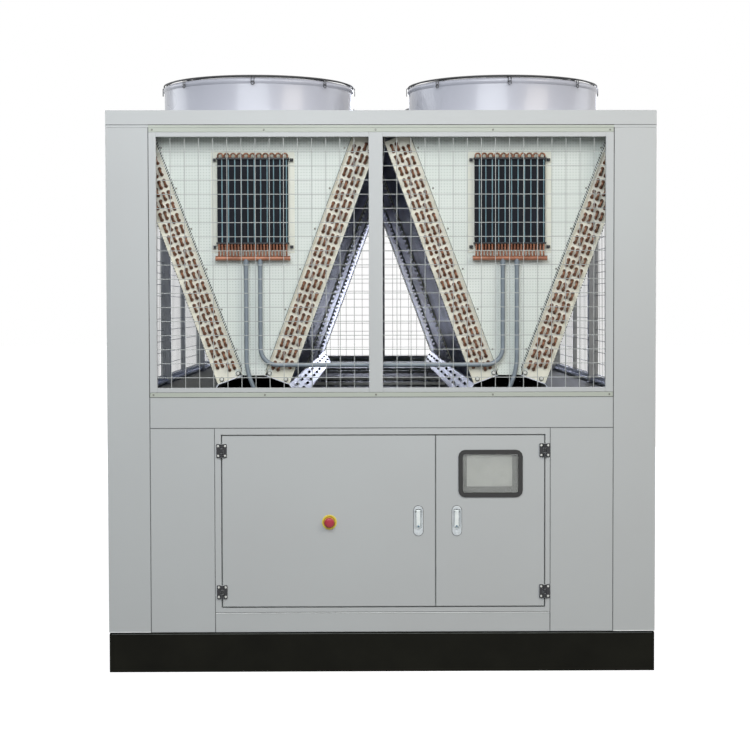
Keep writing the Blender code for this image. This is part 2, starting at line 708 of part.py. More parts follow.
def build_emergency_stop():
    """Make the emergency stop: a plate with a barrel through the door, and its button."""
    centre = (STOP_X, STOP_Z)
    plate_front = FRONT - SEAT - STOP_PLATE_THICKNESS
    collar_front = plate_front - STOP_COLLAR_HEIGHT
    barrel_back = FRONT + STOP_BARREL_LENGTH
    plate = add_object(
        "emergency_stop_plate",
        prism(circle_outline(centre, STOP_PLATE_RADIUS, 16), plate_front, FRONT - SEAT),
        "stop_yellow",
    )
    overlap = STOP_PLATE_THICKNESS / 2
    fuse(
        plate,
        [
            prism(circle_outline(centre, STOP_COLLAR_RADIUS, 12), collar_front, plate_front + overlap),
            prism(circle_outline(centre, STOP_BARREL_RADIUS, 12), plate_front + overlap, barrel_back),
        ],
    )
    bore = circle_outline(centre, STOP_BORE_RADIUS, 12)
    cut(plate, [prism(bore, collar_front - DOOR_GAP, barrel_back + DOOR_GAP)])
    head_back = collar_front - STOP_STROKE - STOP_GAP
    head_front = head_back - STOP_HEAD_HEIGHT
    profile = (
        (0.0, head_front),
        (STOP_HEAD_RADIUS * STOP_CROWN_SHARE, head_front + STOP_HEAD_HEIGHT * STOP_CROWN_DROP),
        (STOP_HEAD_RADIUS, head_front + STOP_HEAD_HEIGHT * STOP_RIM_DROP),
        (STOP_HEAD_RADIUS * STOP_BACK_SHARE, head_back),
        (STOP_BORE_RADIUS - STOP_STEM_CLEARANCE, head_back),
        (STOP_BORE_RADIUS - STOP_STEM_CLEARANCE, barrel_back - STOP_STROKE - STOP_GAP),
        (0.0, barrel_back - STOP_STROKE - STOP_GAP),
    )
    button = bmesh.new()
    points = [button.verts.new((radius, y - head_back, 0.0)) for radius, y in profile]
    edges = [button.edges.new(pair) for pair in zip(points, points[1:])]
    bmesh.ops.spin(
        button, geom=points + edges, cent=(0, 0, 0), axis=(0, 1, 0), angle=2 * math.pi, steps=16, use_merge=True
    )
    bmesh.ops.remove_doubles(button, verts=button.verts, dist=0.00001)
    made = add_object("emergency_stop_button", button, "stop_red")
    made.location = (STOP_X, head_back, STOP_Z)


def coil_frame(centre_x, side):
    """Return a function from a coil's own section to world X and Z.

    The first number runs up the slope from the foot, the second runs into the V.
    """
    up = Vector((side * math.sin(COIL_SLOPE), math.cos(COIL_SLOPE)))
    inward = Vector((-side * math.cos(COIL_SLOPE), math.sin(COIL_SLOPE)))
    foot = Vector((centre_x + side * COIL_FOOT_OUT, COIL_FOOT_LEVEL))

    def place(along, across):
        return tuple(foot + up * along + inward * across)

    return place


def coil_section(place, inset):
    """Return the corners of a coil's section, set in by a margin."""
    low, high = inset, COIL_HEIGHT - inset
    outer, inner = inset, COIL_THICKNESS - inset
    return [place(low, outer), place(high, outer), place(high, inner), place(low, inner)]


def build_coils():
    """Make the four sloping coils: fin packs with tube sheets and section joints."""
    number = 0
    end_y = REAR - COIL_END_INSET
    for centre_x in (-V_HALF_PITCH, V_HALF_PITCH):
        for side in (-1, 1):
            number += 1
            place = coil_frame(centre_x, side)
            pack = coil_section(place, TUBE_SHEET_PROUD)
            full = coil_section(place, 0.0)
            fins = prism(pack, -end_y + TUBE_SHEET / 2, end_y - TUBE_SHEET / 2)
            made = add_object(f"coil_{number}", fins, "fin_pack")
            sheets = [prism(full, -end_y, -end_y + TUBE_SHEET), prism(full, end_y - TUBE_SHEET, end_y)]
            for joint in (-BAY_LENGTH / 2, BAY_LENGTH / 2):
                sheets.append(prism(full, joint - JOINT_WIDTH / 2, joint + JOINT_WIDTH / 2))
            corner_x, corner_z = place(COIL_HEIGHT, 0)
            rail_x = sorted((corner_x, corner_x - side * TOP_RAIL))
            rail_start = corner_z - 2 * TUBE_SHEET_PROUD
            sheets.append(box(rail_x, (-end_y, end_y), (rail_start, TRAY_BOTTOM - SEAT)))
            fuse(made, sheets)


def support_ridge():
    """Return the level at which the foot lines of a V's two coils meet."""
    return COIL_FOOT_LEVEL + COIL_FOOT_OUT * math.tan(COIL_SLOPE)


def build_supports():
    """Make the folded galvanised sheet that carries the feet of each V."""
    reach = REAR - COIL_END_INSET
    ridge = support_ridge()
    drop = SEAT / math.cos(COIL_SLOPE)
    for name, centre_x in (("left_v_support", -V_HALF_PITCH), ("right_v_support", V_HALF_PITCH)):
        points = [
            (centre_x - SUPPORT_FOOT_OUT, DECK_TOP + SEAT),
            (centre_x - COIL_FOOT_OUT, COIL_FOOT_LEVEL - drop),
            (centre_x, ridge - drop),
            (centre_x + COIL_FOOT_OUT, COIL_FOOT_LEVEL - drop),
            (centre_x + SUPPORT_FOOT_OUT, DECK_TOP + SEAT),
        ]
        outline = folded_sheet(points, SUPPORT_SHEET)
        level_outline = [(x, max(z, DECK_TOP + SEAT)) for x, z in outline]
        add_object(name, prism(level_outline, -reach, reach), "galvanised")


def end_sheet_outline(centre_x):
    """Return the outline of the sheet that closes the end of a V."""
    points = []
    deck_under = BODY_TOP - DECK_SHEET - SEAT
    for side in (-1, 1):
        place = coil_frame(centre_x, side)
        foot = place(0.0, COIL_THICKNESS + SEAT)
        head = place(COIL_HEIGHT, COIL_THICKNESS + SEAT)
        points.append([foot, head, (head[0], deck_under)])
    left, right = points
    return left + right[::-1] + [(centre_x, support_ridge())]


def build_end_sheets():
    """Make the sheets that close the ends of both Vs, the front ones with a window."""
    margin = SEAT
    for end_name, end in (("front", -1), ("rear", 1)):
        outer = end * (REAR - COIL_END_INSET)
        inner = outer - end * END_SHEET
        for side_name, centre_x in (("left", -V_HALF_PITCH), ("right", V_HALF_PITCH)):
            sheet = prism(end_sheet_outline(centre_x), min(outer, inner), max(outer, inner))
            made = add_object(f"end_panel_{end_name}_{side_name}", sheet, "galvanised")
            if end < 0:
                half = SMALL_WIDTH / 2 + margin
                window = box(
                    (centre_x - half, centre_x + half),
                    (outer - END_SHEET, inner + END_SHEET),
                    (SMALL_BOTTOM - margin, SMALL_TOP + margin),
                )
                cut(made, [window])


def tube(points, radius, sides):
    """Return a tube along points that lie in one plane across Y."""
    made = bmesh.new()
    rings = []
    for index, point in enumerate(points):
        here = Vector(point)
        before = Vector(points[max(index - 1, 0)])
        after = Vector(points[min(index + 1, len(points) - 1)])
        along = (after - before).normalized()
        across = along.cross(Vector((0.0, 1.0, 0.0))).normalized()
        ring = []
        for step in range(sides):
            turn = 2 * math.pi * (step + 0.5) / sides
            offset = across * math.cos(turn) + Vector((0.0, 1.0, 0.0)) * math.sin(turn)
            ring.append(made.verts.new(here + offset * radius))
        rings.append(ring)
    for one, two in zip(rings, rings[1:]):
        for step in range(sides):
            after = (step + 1) % sides
            made.faces.new([one[step], one[after], two[after], two[step]])
    made.faces.new(rings[0])
    made.faces.new(rings[-1])
    return made


def elbow(start, corner, end, radius, steps):
    """Return the points of a bend that rounds a corner between two straight runs."""
    first = (Vector(start) - Vector(corner)).normalized()
    second = (Vector(end) - Vector(corner)).normalized()
    centre = Vector(corner) + (first + second) * radius
    points = []
    for step in range(steps + 1):
        turn = 0.5 * math.pi * step / steps
        points.append(centre - second * radius * math.cos(turn) - first * radius * math.sin(turn))
    return [tuple(point) for point in points]


def build_small_coils():
    """Make the two small tube coils, each with its bends, copper header and pipes."""
    sheet_front = FRONT + COIL_END_INSET
    plate_front = sheet_front - SEAT - SMALL_PLATE
    pipe_y = sheet_front - PIPE_PROUD
    for name, centre_x, side, end_x in (
        ("small_coil_left", -V_HALF_PITCH, 1, LONG_PIPE_ENDS[0]),
        ("small_coil_right", V_HALF_PITCH, -1, LONG_PIPE_ENDS[1]),
    ):
        half = SMALL_WIDTH / 2 - SEAT
        block_x = (centre_x - half, centre_x + half)
        block_y = (plate_front - SMALL_PROUD, plate_front - SMALL_PROUD + SMALL_DEPTH)
        block = box(block_x, block_y, (SMALL_BOTTOM + SEAT, SMALL_TOP - SEAT))
        made = add_object(name, block, "fin_pack")
        half = SMALL_PLATE_WIDTH / 2
        plate_x = (centre_x - half, centre_x + half)
        plate_y = (plate_front, plate_front + SMALL_PLATE)
        plate_z = (SMALL_BOTTOM - SMALL_PLATE_BELOW, SMALL_TOP + SMALL_PLATE_ABOVE)
        parts = [box(plate_x, plate_y, plate_z)]
        pitch = SMALL_WIDTH / BEND_COUNT
        for index in range(BEND_COUNT):
            bend_x = centre_x - SMALL_WIDTH / 2 + pitch * (index + 0.5)
            level = SMALL_TOP - BEND_TUBE
            arc = []
            for step in range(4):
                turn = math.pi * step / 3
                reach, rise = BEND_RADIUS * math.cos(turn), BEND_RADIUS * math.sin(turn)
                arc.append((bend_x + reach, pipe_y, level + rise))
            parts.append(tube(arc, BEND_TUBE, 4))
        header = [(centre_x + end * SMALL_WIDTH / 2, pipe_y, HEADER_LEVEL) for end in (-1, 1)]
        parts.append(tube(header, HEADER_TUBE, 8))
        for index in range(BEND_COUNT):
            stub_x = centre_x - SMALL_WIDTH / 2 + pitch * (index + 0.5)
            stub = [(stub_x, pipe_y, SMALL_BOTTOM + 2 * BEND_TUBE), (stub_x, pipe_y, HEADER_LEVEL)]
            parts.append(tube(stub, BEND_TUBE, 4))
        short_x = centre_x + side * SHORT_PIPE_OFFSET
        long_x = centre_x + side * LONG_PIPE_OFFSET
        foot = DECK_TOP + SEAT
        lean_x = short_x + side * SHORT_PIPE_LEAN
        lean_z = DECK_TOP + SHORT_PIPE_LEAN_RISE
        route = [(short_x, pipe_y, HEADER_LEVEL), (short_x, pipe_y, lean_z)]
        route += [(lean_x, pipe_y, foot + PIPE_FOOT), (lean_x, pipe_y, foot)]
        parts.append(tube(route, PIPE_RADIUS, 6))
        top = (long_x, pipe_y, HEADER_LEVEL)
        corner = (long_x, pipe_y, LONG_PIPE_LEVEL)
        turn_down = (end_x, pipe_y, LONG_PIPE_LEVEL)
        bottom = (end_x, pipe_y, foot)
        route = [top] + elbow(top, corner, turn_down, PIPE_BEND, 3)
        route += elbow(corner, turn_down, bottom, PIPE_BEND, 3) + [bottom]
        parts.append(tube(route, PIPE_RADIUS, 6))
        fuse(made, parts)


def wire_cuts(low, high, step):
    """Return the centres of every step-th wire between two edges."""
    pitch = WIRE_PITCH * step
    count = max(int((high - low - WIRE_PITCH) / pitch), 1)
    places = [low + pitch * (index + 1) for index in range(count)]
    return [place for place in places if place < high - WIRE_PITCH / 2]


def bar_edges(bars, wires):
    """Return the sorted edges of bars and of the wires at the given centres."""
    edges = {edge for bar in bars for edge in bar}
    for centre in wires:
        edges |= {centre - WIRE / 2, centre + WIRE / 2}
    return sorted(edges)


def mesh_frame(bars, rails, wires_a, wires_b, start, end, axis):
    """Make a flat frame of bars and rails with every few wires of its mesh.

    Bars and wires_a cut across the first direction, rails and wires_b the second.
    """
    half = WIRE / 2

    def covered(place, spans, wires):
        on_span = any(low < place < high for low, high in spans)
        return on_span or any(abs(place - centre) < half for centre in wires)

    def filled(a, b):
        return covered(a, bars, wires_a) or covered(b, rails, wires_b)

    first = bar_edges(bars, wires_a)
    second = bar_edges(rails, wires_b)
    return grid_solid(first, second, filled, start, end, axis)


def build_end_grilles():
    """Make the mesh frames of the front and the rear."""
    inner = COLUMN_INNER - SEAT
    top = TRAY_BOTTOM - SEAT
    for name, end, bottom in (("front_grille", -1, HEADER_TOP), ("rear_grille", 1, DECK_TOP + SEAT)):
        bars = [
            (-inner, -inner + FRONT_STILE_LEFT),
            (MULLION_LEFT, MULLION_RIGHT),
            (inner - FRONT_STILE_RIGHT, inner),
        ]
        if end > 0:
            bars = [(-high, -low) for low, high in bars][::-1]
        rails = [(bottom, bottom + GRILLE_RAIL), (top - GRILLE_RAIL, top)]
        wires_a = []
        for one, two in zip(bars, bars[1:]):
            wires_a += wire_cuts(one[1], two[0], FRONT_WIRE_STEP)
        wires_b = wire_cuts(rails[0][1], rails[1][0], FRONT_WIRE_STEP)
        y_range = sorted((end * REAR, end * (REAR - GRILLE_THICKNESS)))
        made = mesh_frame(bars, rails, wires_a, wires_b, *y_range, "Y")
        add_object(name, made, "panel_paint")


def build_side_grilles():
    """Make the mesh frames of the long sides with their thick and thin posts."""
    reach = REAR - COLUMN_DEPTH - SEAT
    bottom = DECK_TOP + SEAT
    top = TRAY_BOTTOM - SEAT
    rails = [(bottom, bottom + GRILLE_RAIL), (top - GRILLE_RAIL, top)]
    bars = [(-reach, -reach + THIN_POST), (reach - THIN_POST, reach)]
    for index in range(1, 2 * BAY_COUNT):
        centre = -BAY_COUNT * BAY_LENGTH / 2 + index * BAY_LENGTH / 2
        width = THICK_POST if index % 2 == 0 else THIN_POST
        bars.append((centre - width / 2, centre + width / 2))
    bars.sort()
    wires_a = []
    for one, two in zip(bars, bars[1:]):
        wires_a += wire_cuts(one[1], two[0], SIDE_WIRE_STEP)
    wires_b = wire_cuts(rails[0][1], rails[1][0], SIDE_WIRE_STEP)
    for side_name, side in (("left", -1), ("right", 1)):
        x_range = sorted((side * (HALF_WIDTH - EDGE_BEVEL), side * (HALF_WIDTH - GRILLE_THICKNESS)))
        made = mesh_frame(bars, rails, wires_a, wires_b, *x_range, "X")
        add_object(f"side_grille_{side_name}", made, "panel_paint")


def roof_box(y_range, inset, z_range):
    """Return a box over one bay of the roof, set in by a margin on its four sides."""
    x_range = (-HALF_WIDTH + inset, HALF_WIDTH - inset)
    return box(x_range, (y_range[0] + inset, y_range[1] - inset), z_range)


def build_roof():
    """Make the three roof frames with their ledges, and the decks with a hole under each fan."""
    joints = [(index - BAY_COUNT / 2) * BAY_LENGTH for index in range(1, BAY_COUNT)]
    edges = [FRONT] + joints + [REAR]
    ledge_top = BODY_TOP - DECK_SHEET - SEAT
    ledge_bottom = ledge_top - DECK_SHEET
    for name, low, high in zip(("front", "middle", "rear"), edges, edges[1:]):
        y_range = (low + (SEAT if low > FRONT else 0.0), high - (SEAT if high < REAR else 0.0))
        outside = roof_box(y_range, 0.0, (TRAY_BOTTOM, BODY_TOP))
        ring = add_object(f"roof_frame_{name}", outside, "panel_paint")
        below = roof_box(y_range, DECK_SHEET, (TRAY_BOTTOM - DECK_EDGE, ledge_bottom))
        middle = roof_box(y_range, DECK_SHEET + DECK_LEDGE, (TRAY_BOTTOM - DECK_EDGE, BODY_TOP + DECK_EDGE))
        above = roof_box(y_range, DECK_SHEET, (ledge_top, BODY_TOP + DECK_EDGE))
        cut(ring, [below, middle, above])
        sheet = roof_box(y_range, DECK_SHEET + SEAT, (BODY_TOP - DECK_SHEET, BODY_TOP))
        deck = add_object(f"fan_deck_{name}", sheet, "panel_paint")
        holes = []
        for centre_x, centre_y in fan_places():
            if low < centre_y < high:
                hole = circle_outline((centre_x, centre_y), THROAT_RADIUS, COWL_SEGMENTS, 0.5)
                holes.append(prism(hole, BODY_TOP - 2 * DECK_SHEET, BODY_TOP + DECK_SHEET, "Z"))
        cut(deck, holes)


def fan_places():
    """Return the centres of the fans, row by row from the front."""
    rows = FANS_PER_BAY * BAY_COUNT
    first = -FAN_PITCH * (rows - 1) / 2
    places = []
    for row in range(rows):
        places += [(side * FAN_HALF_PITCH, first + FAN_PITCH * row) for side in (-1, 1)]
    return places


def turned_ring(profile, segments):
    """Turn a closed profile of radii and levels into a ring."""
    made = bmesh.new()
    rings = []
    for step in range(segments):
        turn = 2 * math.pi * (step + 0.5) / segments
        along_x, along_y = math.cos(turn), math.sin(turn)
        rings.append([made.verts.new((r * along_x, r * along_y, z)) for r, z in profile])
    count = len(profile)
    for one, two in zip(rings, rings[1:] + rings[:1]):
        for index in range(count):
            after = (index + 1) % count
            made.faces.new([one[index], two[index], two[after], one[after]])
    return made


def cowl_solid():
    """Return the bell-mouthed ring of one fan."""
    profile = (
        (THROAT_RADIUS, SEAT),
        (COWL_RADIUS, SEAT),
        (COWL_RADIUS, COWL_HEIGHT - LIP_HEIGHT),
        (LIP_RADIUS, COWL_HEIGHT - LIP_HEIGHT / 2),
        ((COWL_RADIUS + THROAT_RADIUS) / 2 + LIP_PROUD, COWL_HEIGHT),
        (THROAT_RADIUS + LIP_PROUD, COWL_HEIGHT - LIP_HEIGHT / 2),
    )
    return turned_ring(profile, COWL_SEGMENTS)


def guard_parts():
    """Return the ring and the bars of one fan's wire guard."""
    low = COWL_HEIGHT + GUARD_RISE
    high = low + GUARD_WIRE
    ring_radius = GUARD_RING_SHARE * THROAT_RADIUS
    inner, outer = ring_radius - GUARD_WIRE / 2, ring_radius + GUARD_WIRE / 2
    under, over = low - GUARD_WIRE / 2, high - GUARD_WIRE / 2
    section = ((inner, under), (outer, under), (outer, over), (inner, over))
    parts = [turned_ring(section, GUARD_RING_SEGMENTS)]
    inner = LIP_RADIUS * math.cos(math.pi / COWL_SEGMENTS) - GUARD_WIRE / 2
    outer = inner + 3 * GUARD_WIRE / 2
    leg = COWL_HEIGHT - GUARD_LEG
    for index in range(GUARD_BARS):
        outline = [(-outer, leg), (-inner, leg), (-inner, low), (inner, low), (inner, leg), (outer, leg)]
        outline += [(outer, high), (-outer, high)]
        bar = prism(outline, -GUARD_WIRE / 2, GUARD_WIRE / 2)
        turn = Matrix.Rotation(math.pi * index / GUARD_BARS, 3, "Z")
        bmesh.ops.rotate(bar, matrix=turn, verts=bar.verts)
        parts.append(bar)
    return parts


def blade_solid(index):
    """Return one twisted fan blade, from inside the hub to its tip."""
    made = bmesh.new()
    throat_flat = THROAT_RADIUS * math.cos(math.pi / COWL_SEGMENTS)
    spans = (HUB_RADIUS * BLADE_ROOT_SHARE, throat_flat - BLADE_TIP_GAP)
    rows = []
    for radius, chord, angle in zip(spans, BLADE_CHORDS, BLADE_ANGLES):
        upper, lower = [], []
        for share in (-0.5, 0.0, 0.5):
            camber = BLADE_CAMBER * chord * (0.25 - share * share)
            along = chord * share
            turn = along / radius * math.cos(angle) * BLADE_SWEEP
            x = radius * math.cos(turn)
            y = radius * math.sin(turn)
            z = BLADE_LEVEL + along * math.sin(angle) * BLADE_PITCH + camber
            upper.append(made.verts.new((x, y, z + BLADE_THICKNESS / 2)))
            lower.append(made.verts.new((x, y, z - BLADE_THICKNESS / 2)))
        rows.append((upper, lower))
    (upper_in, lower_in), (upper_out, lower_out) = rows
    for k in range(2):
        made.faces.new([upper_in[k], upper_in[k + 1], upper_out[k + 1], upper_out[k]])
        made.faces.new([lower_in[k], lower_out[k], lower_out[k + 1], lower_in[k + 1]])
        made.faces.new([upper_in[k], lower_in[k], lower_in[k + 1], upper_in[k + 1]])
        made.faces.new([upper_out[k], upper_out[k + 1], lower_out[k + 1], lower_out[k]])
    made.faces.new([upper_in[0], upper_out[0], lower_out[0], lower_in[0]])
    made.faces.new([upper_in[2], lower_in[2], lower_out[2], upper_out[2]])
    place = Matrix.Rotation(2 * math.pi * index / BLADE_COUNT, 3, "Z")
    bmesh.ops.rotate(made, matrix=place, verts=made.verts)
    return made


def build_fans():
    """Make twelve fans: cowl, guard, motor and impeller, one shared mesh."""
    first = add_object("fan_1", cowl_solid(), "cowl_paint")
    motor_top = COWL_HEIGHT + GUARD_RISE + GUARD_WIRE + HUB_CAP
    round_motor = circle_outline((0.0, 0.0), HUB_RADIUS, 8, 0.5)
    motor = prism(round_motor, HUB_BOTTOM, motor_top, "Z")
    fuse(first, guard_parts() + [motor] + [blade_solid(index) for index in range(BLADE_COUNT)])
    for number, (centre_x, centre_y) in enumerate(fan_places(), start=1):
        fan = first
        if number > 1:
            fan = bpy.data.objects.new(f"fan_{number}", first.data)
            bpy.context.scene.collection.objects.link(fan)
        fan.location = (centre_x, centre_y, BODY_TOP)


def build_chiller():
    """Build every sub-part of the chiller."""
    clear_scene()
    build_base()
    build_columns()
    build_front_panels()
    build_rear_and_side_panels()
    build_middle_deck()
    build_cabinet()
    build_doors()
    build_levers()
    build_emergency_stop()
    build_coils()
    build_supports()
    build_end_sheets()
    build_small_coils()
    build_end_grilles()
    build_side_grilles()
    build_roof()
    build_fans()


build_chiller()
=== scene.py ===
"""Visual model of an air-cooled process chiller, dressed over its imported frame.

Metres, +Z up, the photographed end toward -Y. Sizes come from the frame where it has them.
"""

import logging
import math
from collections.abc import Callable, Iterable, Sequence
from dataclasses import dataclass
from enum import Enum

import bpy
import numpy as np
from mathutils import Matrix, Vector


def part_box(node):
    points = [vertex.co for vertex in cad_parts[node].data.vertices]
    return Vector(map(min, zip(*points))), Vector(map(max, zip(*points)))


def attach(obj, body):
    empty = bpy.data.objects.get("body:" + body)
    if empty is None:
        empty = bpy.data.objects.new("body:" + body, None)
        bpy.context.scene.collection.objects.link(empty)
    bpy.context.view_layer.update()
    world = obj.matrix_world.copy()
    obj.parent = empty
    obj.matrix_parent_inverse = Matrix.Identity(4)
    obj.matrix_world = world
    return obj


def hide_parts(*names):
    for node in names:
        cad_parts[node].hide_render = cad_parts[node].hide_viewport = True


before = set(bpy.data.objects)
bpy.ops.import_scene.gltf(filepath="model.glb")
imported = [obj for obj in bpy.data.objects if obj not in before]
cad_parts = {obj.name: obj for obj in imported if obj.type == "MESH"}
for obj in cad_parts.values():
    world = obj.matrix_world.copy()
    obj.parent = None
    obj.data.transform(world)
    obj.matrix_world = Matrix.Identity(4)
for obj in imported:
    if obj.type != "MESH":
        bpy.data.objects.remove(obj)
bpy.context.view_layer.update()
LOG = logging.getLogger("chiller")

MM = 0.001
SHARP_ANGLE = math.radians(35)
# How far a fitted piece reaches into what carries it.
LAP = 1 * MM
# Where most of Blender's noise lies, and how far mottling moves the gloss.
NOISE_RANGE = (0.3, 0.7)
GLOSS_SPREAD = 0.04
FAN_COUNT = 12
Point = Sequence[float]
Pair = tuple[float, float]
Pairs = list[Pair]
Tree = bpy.types.NodeTree
Node = bpy.types.Node
Socket = bpy.types.NodeSocket


class Body(Enum):
    """The rigid bodies of the frame that pieces ride on."""

    UNIT = "unit"
    WIDE_DOOR = "wide_door"
    NARROW_DOOR = "narrow_door"
    WIDE_LEVER = "wide_door_lever"
    NARROW_LEVER = "narrow_door_lever"
    BUTTON = "stop_button"


class Slot(Enum):
    """The record's material slots."""

    PANEL = "panel_paint"
    BASE = "base_paint"
    ZINC = "galvanised"
    FINS = "fin_pack"
    COPPER = "copper_coil"
    COWL = "cowl_paint"
    DECK = "deck_steel"
    RUBBER = "rubber"
    GLASS = "glass"
    RED = "stop_red"
    YELLOW = "stop_yellow"
    CHROME = "chrome"


class End(Enum):
    """The two ends of the unit, as the direction along Y."""

    FRONT = -1
    REAR = 1


def linear(code: str) -> tuple[float, float, float, float]:
    """Turn an sRGB hex code into a linear colour.

    Args:
        code: Six hex digits after a hash sign.

    Returns:
        Linear red, green and blue, with an alpha of one.
    """
    parts = []
    for place in (1, 3, 5):
        value = int(code[place : place + 2], 16) / 255
        parts.append(value / 12.92 if value <= 0.04045 else ((value + 0.055) / 1.055) ** 2.4)
    return (parts[0], parts[1], parts[2], 1.0)


def add_node(
    tree: Tree,
    kind: str,
    settings: dict | None = None,
    values: dict | None = None,
    links: dict | None = None,
) -> Node:
    """Add one node with its settings, input values and incoming links.

    Args:
        tree: The node tree that takes the node.
        kind: Blender's name for the node type.
        settings: Attributes of the node itself.
        values: Input values by name or number.
        links: Output sockets by the name or number of the input they feed.

    Returns:
        The new node.
    """
    node = tree.nodes.new(kind)
    for name, value in (settings or {}).items():
        setattr(node, name, value)
    for name, value in (values or {}).items():
        node.inputs[name].default_value = value
    for name, socket in (links or {}).items():
        tree.links.new(socket, node.inputs[name])
    return node


def blend(tree: Tree, factor: Socket, first: Socket | str, second: Socket | str) -> Socket:
    """Mix two colours by a factor.

    Args:
        tree: The node tree that takes the mix.
        factor: Zero for the first colour and one for the second.
        first: A socket, or a colour's hex code.
        second: The same for the other colour.

    Returns:
        The mixed colour.
    """
    mix = add_node(tree, "ShaderNodeMix", {"data_type": "RGBA"}, links={"Factor": factor})
    for name, colour in (("A", first), ("B", second)):
        if isinstance(colour, str):
            mix.inputs[name].default_value = linear(colour)
        else:
            tree.links.new(colour, mix.inputs[name])
    return mix.outputs["Result"]


def linked(name: str, data: bpy.types.ID) -> bpy.types.Object:
    """Return a new object of this data, linked into the scene."""
    made = bpy.data.objects.new(name, data)
    bpy.context.scene.collection.objects.link(made)
    return made


@dataclass(frozen=True)
class Finish:
    """One real surface: its colour, its shine and the size of its mottling."""

    name: str
    colour: str
    metallic: float = 0.0
    roughness: float = 0.5
    second_colour: str = ""
    mottle_mm: float = 300.0
    grain_mm: float = 10.0
    relief_mm: float = 0.05
    coat: float = 0.0
    specular: float = 0.5

    def material(self) -> bpy.types.Material:
        """Return the finish's material, made on first use.

        Returns:
            The material of this name.
        """
        found = bpy.data.materials.get(self.name)
        if found is not None:
            return found
        made = bpy.data.materials.new(self.name)
        made.use_nodes = True
        tree = made.node_tree
        shader = tree.nodes["Principled BSDF"]
        shader.inputs["Base Color"].default_value = linear(self.colour)
        shader.inputs["Metallic"].default_value = self.metallic
        shader.inputs["Roughness"].default_value = self.roughness
        shader.inputs["Coat Weight"].default_value = self.coat
        shader.inputs["Specular IOR Level"].default_value = self.specular
        self.dress(tree, shader)
        return made

    def place(self, tree: Tree) -> Socket:
        """Return the object coordinates, in metres."""
        return add_node(tree, "ShaderNodeTexCoord").outputs["Object"]

    def cloud(self, tree: Tree, size_mm: float) -> Socket:
        """Return soft noise with features of a real size.

        Args:
            tree: The node tree of the material.
            size_mm: The distance between features in millimetres.

        Returns:
            The noise factor.
        """
        values = {"Scale": 1.0 / (size_mm * MM), "Detail": 3.0}
        links = {"Vector": self.place(tree)}
        return add_node(tree, "ShaderNodeTexNoise", values=values, links=links).outputs["Fac"]

    def spread(
        self, tree: Tree, factor: Socket, low: float, high: float
    ) -> Socket:
        """Stretch the middle of a noise factor to a new range.

        Args:
            tree: The node tree of the material.
            factor: The noise factor.
            low: The value at the noise's usual low end.
            high: The value at its usual high end.

        Returns:
            The stretched value.
        """
        values = {"From Min": NOISE_RANGE[0], "From Max": NOISE_RANGE[1], "To Min": low, "To Max": high}
        return add_node(tree, "ShaderNodeMapRange", values=values, links={"Value": factor}).outputs["Result"]

    def tint(
        self, tree: Tree, shader: Node, factor: Socket
    ) -> None:
        """Blend the two colours by a factor into the shader's base colour."""
        mixed = blend(tree, factor, self.colour, self.second_colour)
        tree.links.new(mixed, shader.inputs["Base Color"])

    def roughen(
        self, tree: Tree, shader: Node, height: Socket
    ) -> None:
        """Give the shader a relief from a height factor."""
        values = {"Strength": 1.0, "Distance": self.relief_mm * MM}
        bump = add_node(tree, "ShaderNodeBump", values=values, links={"Height": height})
        tree.links.new(bump.outputs["Normal"], shader.inputs["Normal"])

    def dress(self, tree: Tree, shader: Node) -> None:
        """Add a faint mottling of colour and gloss, and a fine relief."""
        blotches = self.cloud(tree, self.mottle_mm)
        self.tint(tree, shader, self.spread(tree, blotches, 0.0, 1.0))
        gloss = self.spread(tree, blotches, self.roughness - GLOSS_SPREAD, self.roughness + GLOSS_SPREAD)
        tree.links.new(gloss, shader.inputs["Roughness"])
        self.roughen(tree, shader, self.cloud(tree, self.grain_mm))


@dataclass(frozen=True)
class SpangledZinc(Finish):
    """Hot-dip galvanised sheet: crystals of slightly different grey."""

    spangle_mm: float = 14.0
    gloss_spread: float = 0.06

    def dress(self, tree: Tree, shader: Node) -> None:
        """Colour each crystal a little apart and vary its gloss."""
        values = {"Scale": 1.0 / (self.spangle_mm * MM)}
        cells = add_node(tree, "ShaderNodeTexVoronoi", values=values, links={"Vector": self.place(tree)})
        crystal = add_node(tree, "ShaderNodeSeparateColor", links={"Color": cells.outputs["Color"]})
        self.tint(tree, shader, crystal.outputs["Red"])
        values = {"To Min": self.roughness - self.gloss_spread, "To Max": self.roughness + self.gloss_spread}
        links = {"Value": crystal.outputs["Green"]}
        gloss = add_node(tree, "ShaderNodeMapRange", values=values, links=links)
        tree.links.new(gloss.outputs["Result"], shader.inputs["Roughness"])


